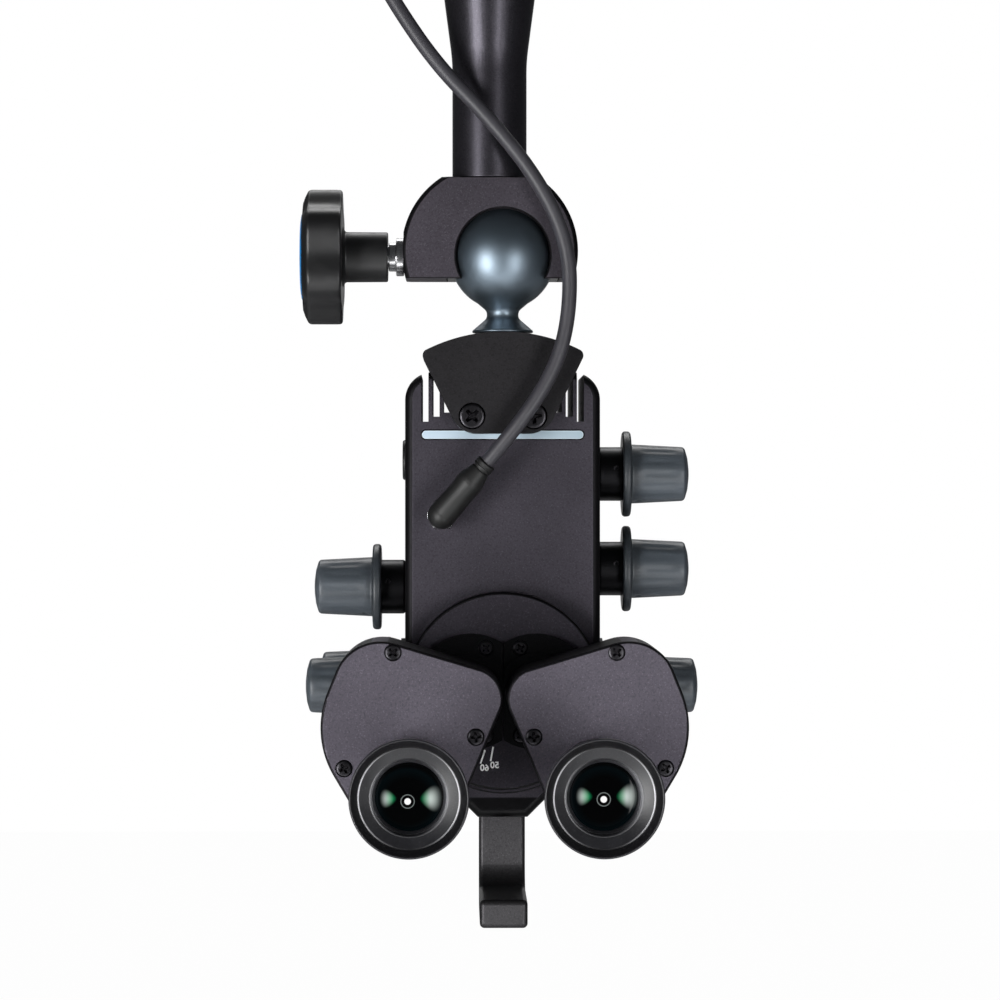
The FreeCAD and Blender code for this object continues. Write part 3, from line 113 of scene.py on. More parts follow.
class Axis(Enum):
    """The axis that a turned or extruded piece follows."""

    X = 0
    Y = 1
    Z = 2

    def point(self, along: float, across: float, beside: float) -> Vector:
        """A point from its place along the axis and its two places across it.

        Args:
            along: Place along the axis.
            across: First place across it.
            beside: Second place across it.

        Returns:
            The point.
        """
        if self is Axis.X:
            return Vector((along, across, beside))
        if self is Axis.Y:
            return Vector((across, along, beside))
        return Vector((across, beside, along))


class Shade:
    """A node's output that takes part in Python expressions."""

    def __init__(self, nodes: "Nodes", socket: Any) -> None:
        """Wrap one output of a node."""
        self.nodes = nodes
        self.socket = socket

    def _maths(self, operation: str, first: Any, second: Any) -> "Shade":
        """Add a Math node between two values."""
        return self.nodes.add("ShaderNodeMath", {"operation": operation}, {0: first, 1: second})

    def __add__(self, other: Any) -> "Shade":
        """This and another value."""
        return self._maths("ADD", self, other)

    def __sub__(self, other: Any) -> "Shade":
        """This less another value."""
        return self._maths("SUBTRACT", self, other)

    def __rsub__(self, other: Any) -> "Shade":
        """Another value less this."""
        return self._maths("SUBTRACT", other, self)

    def __mul__(self, other: Any) -> "Shade":
        """This times another value."""
        return self._maths("MULTIPLY", self, other)

    def __truediv__(self, other: Any) -> "Shade":
        """This over another value."""
        return self._maths("DIVIDE", self, other)

    def __pow__(self, other: Any) -> "Shade":
        """This to a power."""
        return self._maths("POWER", self, other)

    def above(self, level: float) -> "Shade":
        """One where the value is above a level, and nought elsewhere."""
        return self._maths("GREATER_THAN", self, level)

    def highest(self, other: Any) -> "Shade":
        """The higher of two values."""
        return self._maths("MAXIMUM", self, other)

    def size(self) -> "Shade":
        """The value without its sign."""
        return self._maths("ABSOLUTE", self, 0.0)

    def clear_of(self, low: float, high: float) -> "Shade":
        """The value spread so that low becomes nought and high becomes one."""
        inputs = {0: self, 1: low, 2: high, 3: 0.0, 4: 1.0}
        return self.nodes.add("ShaderNodeMapRange", {"clamp": True}, inputs)

    __radd__ = __add__
    __rmul__ = __mul__


class Nodes:
    """A node tree that is built one node at a time."""

    def __init__(self, tree: bpy.types.NodeTree) -> None:
        """Hold the tree that is built."""
        self.tree = tree

    def add(self, kind: str, settings: dict[str, Any], inputs: dict[Any, Any], output: Any = 0) -> Shade:
        """Add a node.

        Args:
            kind: Blender's name of the node's type.
            settings: Properties that are set first.
            inputs: Values or links of its sockets, by name or place.
            output: The output that is returned.

        Returns:
            The output as a value for more expressions.
        """
        node = self.tree.nodes.new(kind)
        for name, value in settings.items():
            setattr(node, name, value)
        for key, value in inputs.items():
            self.feed(node.inputs[key], value)
        return Shade(self, node.outputs[output])

    def feed(self, socket: Any, value: Any) -> None:
        """Link a socket, or set its value.

        Args:
            socket: The input that is fed.
            value: A Shade to link, or a plain value.
        """
        if isinstance(value, Shade):
            self.tree.links.new(value.socket, socket)
        else:
            socket.default_value = value

    def close(self, name: str, shader: Shade) -> None:
        """Link the last shader to the tree's own output node."""
        self.feed(self.tree.nodes[name].inputs[0], shader)


class Paint(Nodes):
    """One material with the nodes that make it."""

    def __init__(self, name: str) -> None:
        """Start a material with its surface shader and its coordinates.

        Args:
            name: Name of the material.
        """
        self.material = bpy.data.materials.new(name)
        self.material.use_nodes = True
        super().__init__(self.material.node_tree)
        self.shader = self.tree.nodes["Principled BSDF"]
        self.place = self.add("ShaderNodeTexCoord", {}, {}, "Object")

    def noise(self, scale: float, detail: float = 2.0, rough: float = 0.5, place: Any = None) -> Shade:
        """Cloudy noise from nought to one."""
        inputs = {"Vector": place or self.place, "Scale": scale, "Detail": detail, "Roughness": rough}
        return self.add("ShaderNodeTexNoise", {}, inputs, "Fac")

    def stretched(self, scale: Point) -> Shade:
        """Object coordinates stretched along the axes."""
        return self.add("ShaderNodeMapping", {}, {"Vector": self.place, "Scale": scale})

    def along(self, axis: str) -> Shade:
        """The place along one axis, in metres."""
        return self.add("ShaderNodeSeparateXYZ", {}, {0: self.place}, axis)

    def past(self, axis: str, place: float) -> Shade:
        """Millimetres past a place on one axis that is given in metres."""
        return (self.along(axis) - place) * 1000

    def mixed(self, share: Any, first: Any, second: Any) -> Shade:
        """A colour between two colours."""
        return self.add("ShaderNodeMix", {"data_type": "RGBA"}, {0: share, 6: first, 7: second}, 2)

    def bump(self, height: Any, depth: float) -> Shade:
        """A normal from a height from nought to one and its depth in metres."""
        return self.add("ShaderNodeBump", {}, {"Height": height, "Distance": depth}, "Normal")

    def set(self, **values: Any) -> None:
        """Set or link sockets of the surface shader; an underscore stands for a space."""
        for name, value in values.items():
            self.feed(self.shader.inputs[name.replace("_", " ")], value)


@dataclass(frozen=True)
class Finish:
    """A named finish, made into a material by the nodes that each kind adds."""

    name: str

    def dress(self, paint: Paint) -> None:
        """Add the finish's nodes."""
        raise NotImplementedError

    def make(self) -> Material:
        """Build the material.

        Returns:
            The finished material.
        """
        paint = Paint(self.name)
        self.dress(paint)
        return paint.material


@dataclass(frozen=True)
class Enamel(Finish):
    """Satin enamel with fine metal flake: orange peel, mottling and dust, painted shade blackening its
    rounded edges, and black below a height.
    """

    colour: Colour
    roughness: float = 0.42
    grain: float = 1800.0
    grain_depth: float = 0.00002
    mottle: float = 0.12
    flake: float = 0.8
    # Share of painted shade that blackens the faces marked as rounded edges.
    edges: float = 0.9
    black_below: float = -9.0

    def dress(self, paint: Paint) -> None:
        """Add the finish's nodes.

        Args:
            paint: The material under way.
        """
        cloud = paint.noise(35, 4)
        fine = paint.noise(self.grain, 3, 0.6)
        speck = paint.noise(self.grain * 1.4, 1).clear_of(0.60, 0.75)
        darker, lighter = scaled(self.colour, 1 - self.mottle), scaled(self.colour, 1 + self.mottle)
        tone = paint.mixed(cloud.clear_of(0.3, 0.7), darker, lighter)
        tone = paint.mixed(fine.clear_of(0.52, 0.30) * 0.6, tone, scaled(self.colour, 0.5))
        tone = paint.mixed(speck * 0.4, tone, scaled(self.colour, 2.2))
        rough = (cloud - 0.5) * 0.06 + (fine - 0.5) * 0.16 + self.roughness
        low = 1 - paint.along("Z").clear_of(self.black_below - 0.0006, self.black_below)
        tone = paint.mixed(low, tone, linear(15, 15, 17))
        # Painted shade: faces marked as rounded edges, which turn away from the lamps, are blackened.
        edge = paint.add("ShaderNodeAttribute", {"attribute_name": "edge"}, {}, "Fac")
        tone = paint.mixed(edge * self.edges, tone, linear(9, 9, 10))
        paint.set(Base_Color=tone, Roughness=rough - low * 0.15, Normal=paint.bump(fine, self.grain_depth))
        paint.set(Specular_IOR_Level=0.45, Metallic=self.flake)


@dataclass(frozen=True)
class TurnedMetal(Finish):
    """Bare or anodised metal with fine turning marks round an axis."""

    colour: Colour
    roughness: float = 0.28
    marks: float = 2500.0
    axis: str = "X"

    def dress(self, paint: Paint) -> None:
        """Add the finish's nodes.

        Args:
            paint: The material under way.
        """
        squeeze = {"X": (1.0, 0.02, 0.02), "Y": (0.02, 1.0, 0.02)}[self.axis]
        marks = paint.noise(self.marks, 2, 0.6, paint.stretched(squeeze))
        cloud = paint.noise(60, 3)
        tone = paint.mixed(cloud.clear_of(0.3, 0.7), scaled(self.colour, 0.86), self.colour)
        rough = (marks - 0.5) * 0.14 + (cloud - 0.5) * 0.08 + self.roughness
        paint.set(Base_Color=tone, Roughness=rough, Metallic=1.0, Normal=paint.bump(marks, 0.000006))


@dataclass(frozen=True)
class Anodised(Finish):
    """Satin anodised metal, bead-blasted, with faint clouding and fine specks."""

    colour: Colour
    roughness: float = 0.4
    sheen: float = 0.0

    def dress(self, paint: Paint) -> None:
        """Add the finish's nodes.

        Args:
            paint: The material under way.
        """
        cloud = paint.noise(45, 4)
        fine = paint.noise(2000, 2)
        tone = paint.mixed(cloud.clear_of(0.3, 0.7), scaled(self.colour, 0.88), self.colour)
        rough = (cloud - 0.5) * 0.08 + (fine - 0.5) * 0.10 + self.roughness
        paint.set(Base_Color=tone, Roughness=rough, Metallic=1.0, Normal=paint.bump(fine, 0.000008))
        paint.set(Coat_Weight=self.sheen, Coat_Roughness=0.42, Coat_IOR=2.0)


@dataclass(frozen=True)
class Moulded(Finish):
    """Moulded plastic or thermoset, with a faint grain and flow marks."""

    colour: Colour
    roughness: float = 0.3
    coat: float = 0.0
    grain_depth: float = 0.000008

    def dress(self, paint: Paint) -> None:
        """Add the finish's nodes.

        Args:
            paint: The material under way.
        """
        flow = paint.noise(70, 3, 0.5, paint.stretched((1.0, 1.0, 0.35)))
        grain = paint.noise(2600, 2)
        tone = paint.mixed(flow.clear_of(0.35, 0.7), self.colour, scaled(self.colour, 1.22))
        smudge = paint.noise(140, 3).clear_of(0.5, 0.75)
        rough = smudge * 0.14 + (grain - 0.5) * 0.06 + self.roughness
        paint.set(Base_Color=tone, Roughness=rough, Normal=paint.bump(grain, self.grain_depth))
        paint.set(Coat_Weight=self.coat, Coat_Roughness=0.12)


@dataclass(frozen=True)
class Silicone(Finish):
    """Translucent silicone: darker flange, streaks along the grip and a dusty, waxy surface."""

    colour: Colour
    deep: Colour
    flange_end: float

    def dress(self, paint: Paint) -> None:
        """Add the finish's nodes.

        Args:
            paint: The material under way.
        """
        reach = paint.past("X", HEAD_X * MM).size()
        streaks = paint.noise(260, 2, 0.5, paint.stretched((0.08, 1.0, 1.0)))
        cloud = paint.noise(60, 3)
        dust = paint.noise(1500, 2).clear_of(0.5, 0.8)
        tone = paint.mixed(streaks.clear_of(0.34, 0.68) * 0.6 + 0.2, self.deep, self.colour)
        tone = paint.mixed(cloud.clear_of(0.35, 0.7) * 0.3, tone, self.colour)
        core = 1 - reach.clear_of(self.flange_end + 1, self.flange_end + 8)
        tone = paint.mixed(core * 0.3, tone, self.deep)
        flange = 1 - reach.clear_of(self.flange_end, self.flange_end + 0.4)
        tone = paint.mixed(flange * 0.8, tone, scaled(self.deep, 0.62))
        tone = paint.mixed(dust * 0.12, tone, scaled(self.colour, 1.8))
        rough = (cloud - 0.5) * 0.12 + dust * 0.06 + 0.40
        paint.set(Base_Color=tone, Roughness=rough, Normal=paint.bump(paint.noise(900, 3), 0.000012))
        paint.set(Subsurface_Weight=0.25, Subsurface_Radius=(1.0, 1.0, 1.0), Subsurface_Scale=0.003)


@dataclass(frozen=True)
class Rubber(Finish):
    """Soft black rubber with a matt bloom."""

    colour: Colour
    roughness: float = 0.55

    def dress(self, paint: Paint) -> None:
        """Add the finish's nodes.

        Args:
            paint: The material under way.
        """
        bloom = paint.noise(120, 4)
        grain = paint.noise(1600, 2)
        tone = paint.mixed(bloom.clear_of(0.45, 0.75) * 0.6, self.colour, scaled(self.colour, 1.3, 0.001))
        rough = (bloom - 0.5) * 0.12 + self.roughness
        paint.set(Base_Color=tone, Roughness=rough, Normal=paint.bump(grain, 0.000004))


@dataclass(frozen=True)
class CoatedGlass(Finish):
    """Optical glass with a coloured coating over a dark bore."""

    colour: Colour
    coating: Colour
    clear: float = 0.0

    def dress(self, paint: Paint) -> None:
        """Add the finish's nodes.

        Args:
            paint: The material under way.
        """
        dust = paint.noise(1500, 2).clear_of(0.68, 0.8)
        cloud = paint.noise(160, 2)
        tone = paint.mixed(cloud.clear_of(0.3, 0.7) * 0.5, self.colour, self.coating)
        rough = dust * 0.12 + (cloud - 0.5) * 0.02 + 0.04
        paint.set(Base_Color=tone, Roughness=rough)
        paint.set(Coat_Weight=1.0, Coat_Roughness=0.02, Coat_Tint=self.coating, IOR=1.52)
        paint.set(Transmission_Weight=self.clear)


@dataclass(frozen=True)
class StripGlass(Finish):
    """Pale diffuser of the light window, paler at its left end, with a painted glow just inside its rim and
    the groove's painted shade along its border.
    """

    straight: float = 26.2
    painted_rim_glow: tuple[float, float] = (1.1, 1.35)
    # Where the groove's painted shade darkens the window's border, in millimetres from its middle line.
    outline: tuple[float, float] = (1.36, 1.42)


    def dress(self, paint: Paint) -> None:
        """Add the finish's nodes.

        Args:
            paint: The material under way.
        """
        across = paint.past("X", HEAD_X * MM)
        up = paint.past("Z", (BALL_Z - STRIP_DROP) * MM)
        over = (across.size() - self.straight).highest(0.0)
        reach = (over * over + up * up) ** 0.5
        cloud = paint.noise(110, 2)
        tone = paint.mixed(across.clear_of(-28, 28), linear(188, 206, 220), linear(156, 174, 184))
        tone = paint.mixed(cloud.clear_of(0.3, 0.7) * 0.15, tone, linear(200, 214, 224))
        # Painted glow: a paler band just inside the rim.
        tone = paint.mixed(reach.clear_of(*self.painted_rim_glow) * 0.5, tone, linear(228, 240, 248))
        # Painted shade: the border is darkened to stand for the shaded groove round the window.
        tone = paint.mixed(reach.clear_of(*self.outline), tone, linear(3, 3, 4))
        paint.set(Base_Color=tone, Roughness=(cloud - 0.5) * 0.1 + 0.22)
        paint.set(Coat_Weight=0.4, Coat_Roughness=0.05)


@dataclass(frozen=True)
class EyeGlass(Finish):
    """Black eye lens with painted light: green-white glints painted as the lamps' reflections in its
    coating, a painted reflection ring and a painted bright exit pupil.
    """

    across: float
    height: float
    # Painted light in millimetres: the bright exit pupil's edge, the reflection ring round it, and each
    # glint's place, half width and half height.
    pupil: tuple[float, float] = (0.95, 1.1)
    ring: tuple[float, float] = (1.95, 2.25)
    left_glint: Point = (-6.1, 2.8, 2.7)
    right_glint: Point = (7.3, 3.6, 3.8)

    def glint(self, x: Shade, z: Shade, place: float, width: float, height: float) -> Shade:
        """A soft wedge of painted reflected light beside the lens's middle, wider outwards, in millimetres.

        Args:
            x: Millimetres beside the lens's middle.
            z: Millimetres above it.
            place: Middle of the wedge beside the lens's middle.
            width: Half its width.
            height: Half its height.

        Returns:
            Its strength from nought to one.
        """
        over = (x - place) / width
        up = (z - 0.9) * (place / height) / (x.size() + 0.5) * (1 if place > 0 else -1)
        return (1 - over * over - up * up).highest(0.0)

    def dress(self, paint: Paint) -> None:
        """Add the finish's nodes.

        Args:
            paint: The material under way.
        """
        # Every mark here is painted light, sent out as emission rather than reflected.
        x, z = paint.past("X", self.across), paint.past("Z", self.height)
        radius = (x * x + z * z) ** 0.5
        left = self.glint(x, z, *self.left_glint) ** 2.0
        right = self.glint(x, z, *self.right_glint) ** 1.9
        pale = x.size().clear_of(4.4, 7.2)
        tint = paint.mixed(pale, linear(40, 190, 120), linear(214, 226, 220))
        glow = paint.mixed(left * 0.7 + right * 0.8, (0.0002, 0.0003, 0.0003, 1), tint)
        # Painted reflection: a dark blue-green tint of the coating near the lens's edge.
        deep = radius.clear_of(7.0, 10.0) * radius.clear_of(11.0, 10.0)
        glow = paint.mixed(deep * 0.35, glow, linear(6, 20, 24))
        # Painted reflection ring round the pupil.
        inner, outer = self.ring
        ring = radius.above(inner) * (1 - radius.above(outer))
        glow = paint.mixed(ring * 0.75, glow, linear(126, 134, 132))
        glow = paint.mixed(1 - radius.above(inner), glow, (0.0005, 0.0005, 0.0005, 1))
        # Painted glow: the bright exit pupil.
        glow = paint.mixed(1 - radius.clear_of(*self.pupil), glow, (1, 1, 1, 1))
        dust = paint.noise(1500, 2).clear_of(0.68, 0.8)
        paint.set(Base_Color=(0.0005, 0.0005, 0.0006, 1), Roughness=dust * 0.1 + 0.05)
        paint.set(Emission_Color=glow, Emission_Strength=1.0, IOR=1.3, Specular_IOR_Level=0.2)


@dataclass(frozen=True)
class CupRubber(Finish):
    """Eyecup rubber: bloomed inner wall, a band darkened by painted shade, a painted highlight on the lip,
    and painted glints on the bead and the throat.
    """

    across: float
    height: float
    # Radii in millimetres where the painted shade of the band and the painted highlight of the lip begin.
    band: tuple[float, float] = (15.7, 16.0)
    lip: tuple[float, float] = (18.1, 18.4)

    def dress(self, paint: Paint) -> None:
        """Add the finish's nodes.

        Args:
            paint: The material under way.
        """
        x, z = paint.past("X", self.across), paint.past("Z", self.height)
        radius = (x * x + z * z) ** 0.5
        bloom = paint.noise(120, 4).clear_of(0.3, 0.7)
        grain = paint.noise(1700, 2)
        wall = paint.mixed(bloom, linear(20, 20, 23), linear(29, 29, 32))
        # Painted shade: the band from the bead out to the lip, which turns away from the lamps, is
        # darkened.
        tone = paint.mixed(radius.clear_of(*self.band), wall, linear(10, 9, 12))
        # Painted highlight: the outer lip is lightened as if it caught the light.
        tone = paint.mixed(radius.clear_of(*self.lip), tone, linear(34, 33, 37))
        # Painted glints: light rings on the bead and the throat, strongest at the left and right, where the
        # lamps stand.
        bead = radius.clear_of(15.55, 15.8) * radius.clear_of(16.2, 15.95)
        throat = radius.clear_of(11.5, 11.8) * radius.clear_of(12.6, 12.1)
        beside = (x * x / (radius * radius)) ** 1.5
        tone = paint.mixed(bead * beside * 0.9 + throat * beside * 0.35, tone, linear(214, 214, 218))
        tone = paint.mixed(grain.clear_of(0.55, 0.75) * 0.25, tone, linear(66, 66, 70))
        rough = (bloom - 0.5) * 0.08 + (grain - 0.5) * 0.1 + 0.38
        paint.set(Base_Color=tone, Roughness=rough, Normal=paint.bump(grain, 0.00001))


class Finishes:
    """Every finish of the head, made once."""

    def __init__(self) -> None:
        """Make every finish."""
        low = (BALL_Z - HEAD_FOOT_DROP) * MM
        # The enamels' edges value is the share of painted shade on rounded edges: none on the arm's tube
        # and the hubs, some on the handle's bend.
        self.arm = Enamel("arm_enamel", linear(68, 66, 72), 0.36, 1800, 0.00001, 0.08, 0.9, 0.0).make()
        self.clamp = Enamel("clamp_enamel", linear(70, 66, 73), 0.50, 1600, 0.00003).make()
        self.bracket = Enamel("bracket_enamel", linear(37, 36, 38), 0.50, 1500).make()
        self.head = Enamel("head_enamel", linear(61, 58, 65), 0.50, 1400, 0.00004, black_below=low).make()
        self.base = Enamel("base_enamel", linear(54, 51, 58), 0.48, 1400, 0.00003).make()
        self.ear = Enamel("ear_enamel", linear(88, 84, 93), 0.50, 1400, 0.00004).make()
        self.hub = Enamel("hub_enamel", linear(34, 34, 36), 0.22, 1400, 0.000005, edges=0.0).make()
        self.handle = Enamel("handle_enamel", linear(68, 67, 69), 0.46, 1400, 0.00003, edges=0.3).make()
        self.steel = TurnedMetal("turned_steel", linear(190, 190, 192), 0.24).make()
        self.screw = TurnedMetal("black_screw", linear(58, 57, 60), 0.32).make()
        self.chrome = TurnedMetal("socket_chrome", linear(225, 226, 228), 0.12).make()
        self.ball = Anodised("ball_anodised", linear(84, 104, 119), 0.44, 0.9).make()
        self.cell = TurnedMetal("cell_anodised", linear(50, 49, 52), 0.35, 2000, "Y").make()
        self.ring = TurnedMetal("barrel_ring", linear(96, 96, 100), 0.34, 2000, "Y").make()
        self.mark = Moulded("scale_white", linear(255, 255, 255), 0.6).make()
        self.knob = Moulded("knob_black", linear(17, 17, 18), 0.42).make()
        self.cap = Moulded("cap_blue", linear(16, 112, 178), 0.28, 0.2).make()
        self.plastic = Moulded("black_plastic", linear(26, 26, 28), 0.4).make()
        pale, deep = linear(83, 90, 97), linear(52, 57, 62)
        self.silicone = Silicone("grip_silicone", pale, deep, 45.2).make()
        self.far_silicone = Silicone("focus_silicone", pale, deep, 42.4).make()
        self.cable = Rubber("cable_rubber", linear(52, 51, 56), 0.48).make()
        self.strip = StripGlass("light_window").make()
        self.boot = Rubber("boot_rubber", linear(17, 17, 17), 0.52).make()
        self.collar = TurnedMetal("collar_black", linear(40, 40, 42), 0.36).make()
        self.alloy = TurnedMetal("lamp_alloy", linear(190, 190, 194), 0.4).make()
        self.mirror = TurnedMetal("mirror_glass", linear(235, 235, 238), 0.03).make()
        self.board = Moulded("board_green", linear(20, 96, 52), 0.35).make()
        self.glass = CoatedGlass("optical_glass", linear(150, 175, 170), linear(120, 150, 170), 0.8).make()


def rounded_line(points: Profile, closed: bool, steps: int = 5) -> list[tuple[float, float]]:
    """Round the corners of a line.

    Args:
        points: Corners as two places and, where it is rounded, a radius.
        closed: Whether the line returns to its start.
        steps: Sides of each rounded corner.

    Returns:
        The points of the rounded line.
    """
    count = len(points)
    line: list[tuple[float, float]] = []
    for index, point in enumerate(points):
        corner = Vector(point[:2])
        open_end = not closed and index in (0, count - 1)
        if len(point) < 3 or open_end:
            line.append((corner.x, corner.y))
            continue
        before = Vector(points[index - 1][:2]) - corner
        after = Vector(points[(index + 1) % count][:2]) - corner
        half = before.angle(after) / 2
        reach = min(point[2] / math.tan(half), before.length * 0.49, after.length * 0.49)
        radius = reach * math.tan(half)
        middle = (before.normalized() + after.normalized()).normalized() * (radius / math.sin(half))
        start = before.normalized() * reach - middle
        end = after.normalized() * reach - middle
        for step in range(steps + 1):
            share = step / steps
            arm = start.slerp(end, share) if start.angle(end) < 3.1 else start.lerp(end, share)
            spot = corner + middle + arm.normalized() * radius
            line.append((spot.x, spot.y))
    return line


def linked(name: str, data: Any) -> Object:
    """A new object of the scene with this data.

    Args:
        name: Name of the object.
        data: Its mesh, curve, camera or light.

    Returns:
        The object.
    """
    made = bpy.data.objects.new(name, data)
    bpy.context.collection.objects.link(made)
    return made


def evaluated(holder: Object) -> Mesh:
    """The plain mesh that an object comes to; the object goes.

    Args:
        holder: Object with live modifiers or a curve.

    Returns:
        The plain mesh.
    """
    graph = bpy.context.evaluated_depsgraph_get()
    graph.update()
    mesh = bpy.data.meshes.new_from_object(holder.evaluated_get(graph))
    bpy.data.objects.remove(holder)
    return mesh


def add_wall(shape: BMesh, first: Sequence[Any], second: Sequence[Any]) -> None:
    """Join two closed loops of equally many corners with faces.

    Args:
        shape: What it is added to, in millimetres.
        first: Corners of one loop.
        second: Corners of the other, in the same order.
    """
    for place in range(len(first)):
        after = (place + 1) % len(first)
        shape.faces.new((first[place], first[after], second[after], second[place]))


def finished(mesh: Mesh, name: str, material: Material, body: str,
             *nodes: str, slot: str = "", smooth: float = 35.0) -> Object:
    """Make a piece from its mesh, smooth it, dress it and let it ride.

    Args:
        mesh: The finished mesh, with its place in it.
        name: The piece's name.
        material: Its finish.
        body: The body that carries it.
        nodes: CAD nodes that it stands for.
        slot: The record's material slot; not used.
        smooth: Edges sharper than this many degrees stay sharp; nought leaves the shading alone.

    Returns:
        The piece.
    """
    piece = linked(name, mesh)
    mesh.name = name
    mesh.materials.clear()
    mesh.materials.append(material)
    if smooth:
        for face in mesh.polygons:
            face.use_smooth = True
        mesh.set_sharp_from_angle(angle=math.radians(smooth))
    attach(piece, body)
    if nodes:
        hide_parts(*nodes)
    log.info("%s rides on %s", name, body)
    return piece


def mesh_of(shape: BMesh, name: str) -> Mesh:
    """Turn a bmesh in millimetres into a mesh in metres with its faces outwards.

    Args:
        shape: The bmesh, which is freed.
        name: Name of the mesh.

    Returns:
        The mesh in metres.
    """
    bmesh.ops.remove_doubles(shape, verts=shape.verts[:], dist=0.0005)
    bmesh.ops.recalc_face_normals(shape, faces=shape.faces[:])
    bmesh.ops.scale(shape, vec=(MM, MM, MM), verts=shape.verts[:])
    mesh = bpy.data.meshes.new(name)
    shape.to_mesh(mesh)
    shape.free()
    return mesh


def add_turned(shape: BMesh, axis: Axis, profile: Profile, centre: Point,
               steps: int = 96, wave: Callable[[float, float, float], float] | None = None) -> None:
    """Add a turned solid to a bmesh.

    Args:
        shape: What it is added to, in millimetres.
        axis: The axis that it is turned round.
        profile: Closed line of places along the axis and radii, with optional rounding.
        centre: A point that the places are counted from.
        steps: Sides round the axis.
        wave: Change of radius from the angle, the place along the axis and the radius.
    """
    line = rounded_line(profile, True)
    rings: list[list[Any]] = []
    for along, radius in line:
        ring = []
        for step in range(1 if radius < 1e-6 else steps):
            angle = math.tau * step / steps
            reach = radius + (wave(angle, along, radius) if wave else 0.0)
            spot = axis.point(along, reach * math.cos(angle), reach * math.sin(angle))
            ring.append(shape.verts.new(spot + Vector(centre)))
        rings.append(ring)
    for first, second in zip(rings, rings[1:] + rings[:1]):
        for step in range(steps):
            after = (step + 1) % steps
            corners = []
            for ring, place in ((first, step), (first, after), (second, after), (second, step)):
                vert = ring[place if len(ring) > 1 else 0]
                if vert not in corners:
                    corners.append(vert)
            if len(corners) > 2:
                shape.faces.new(corners)


def turned(name: str, axis: Axis, profile: Profile, centre: Point, steps: int = 96,
           wave: Callable[[float, float, float], float] | None = None) -> Mesh:
    """A turned piece as a mesh; see add_turned.

    Args:
        name: Name of the mesh.
        axis: The axis that it is turned round.
        profile: Closed line of places along the axis and radii.
        centre: A point that the places are counted from.
        steps: Sides round the axis.
        wave: Change of radius.

    Returns:
        The mesh in metres.
    """
    shape = bmesh.new()
    add_turned(shape, axis, profile, centre, steps, wave)
    return mesh_of(shape, name)


def add_extruded(shape: BMesh, axis: Axis, outline: Sequence[tuple[float, float]],
                 low: float, high: float) -> None:
    """Add a plate with this outline, in millimetres, from low to high along an axis.

    Args:
        shape: What it is added to, in millimetres.
        axis: The axis that it is thick along.
        outline: Its corners in order.
        low: Where it starts.
        high: Where it ends.
    """
    levels = []
    for level in (low, high):
        levels.append([shape.verts.new(axis.point(level, x, y)) for x, y in outline])
    add_wall(shape, levels[0], levels[1])
    shape.faces.new(levels[0][::-1])
    shape.faces.new(levels[1])


def with_modifiers(mesh: Mesh, *modifiers: tuple[str, dict[str, Any]]) -> Mesh:
    """Bake modifiers, given as type and settings, into a mesh.

    Args:
        mesh: The mesh that is worked on.
        modifiers: Type and settings of each.

    Returns:
        The baked mesh.
    """
    holder = linked("holder", mesh)
    for kind, settings in modifiers:
        modifier = holder.modifiers.new(kind.title(), kind)
        for key, value in settings.items():
            setattr(modifier, key, value)
    return evaluated(holder)


def edge_bevel(width: float, segments: int = 3, angle: float = 40.0) -> tuple[str, dict[str, Any]]:
    """A bevel modifier on sharp edges, with its width in millimetres.

    Args:
        width: Width in millimetres.
        segments: Steps across the bevel.
        angle: Edges sharper than this many degrees are eased.

    Returns:
        The modifier's type and settings.
    """
    return ("BEVEL", {
        "width": width * MM,
        "segments": segments,
        "limit_method": "ANGLE",
        "angle_limit": math.radians(angle),
    })


def even_shading(mesh: Mesh, angle: float = 40.0) -> Mesh:
    """Smooth a mesh below an angle in degrees, with its large faces kept flat.

    Args:
        mesh: The mesh that is worked on.
        angle: Edges sharper than this many degrees stay sharp.

    Returns:
        The mesh with its normals.
    """
    for face in mesh.polygons:
        face.use_smooth = True
    mesh.set_sharp_from_angle(angle=math.radians(angle))
    weights = {"mode": "FACE_AREA", "weight": 90, "keep_sharp": True}
    return with_modifiers(mesh, ("WEIGHTED_NORMAL", weights))


def merged(node: str) -> BMesh:
    """A merged copy of a CAD node in metres, its flat faces made whole.

    Args:
        node: The node's name.

    Returns:
        The copy, to be freed by its user.
    """
    shape = bmesh.new()
    shape.from_mesh(frame["nodes"][node].data)
    bmesh.ops.remove_doubles(shape, verts=shape.verts[:], dist=0.000002)
    flat = math.radians(0.8)
    bmesh.ops.dissolve_limit(shape, angle_limit=flat, verts=shape.verts[:], edges=shape.edges[:])
    return shape


def refined(node: str, width: float, angle: float = 40.0,
            change: Callable[[BMesh], None] | None = None) -> Mesh:
    """A copy of a CAD node with its sharp edges eased.

    Args:
        node: The node's name.
        width: Width of the eased edges in millimetres.
        angle: Edges sharper than this many degrees are eased.
        change: Work on the merged copy before its edges are eased.

    Returns:
        The copy's mesh.
    """
    shape = merged(node)
    if change:
        change(shape)
    mesh = bpy.data.meshes.new(node)
    shape.to_mesh(mesh)
    shape.free()
    if width:
        mesh = with_modifiers(mesh, edge_bevel(width, 2, angle))
    mesh = even_shading(mesh)
    # Faces that are not square to an axis are marked as edges; the enamels darken them with painted shade.
    edge = mesh.attributes.new("edge", "FLOAT", "FACE")
    for face, slot in zip(mesh.polygons, edge.data):
        slot.value = float(max(abs(part) for part in face.normal) < 0.985)
    return mesh


def body_of(node: str) -> str:
    """The body that carries a CAD node."""
    bodies = frame["record"]["behaviour"]["bodies"]
    return next(body for body, members in bodies.items() if node in members)


def carried(node: str, material: Material, slot: str, width: float = 0.2,
            angle: float = 40.0, change: Callable[[BMesh], None] | None = None) -> Object:
    """Dress a CAD node with a merged copy whose sharp edges are eased by a width in millimetres."""
    mesh = refined(node, width, angle, change)
    return finished(mesh, node + "_finish", material, body_of(node), node, slot=slot, smooth=0)


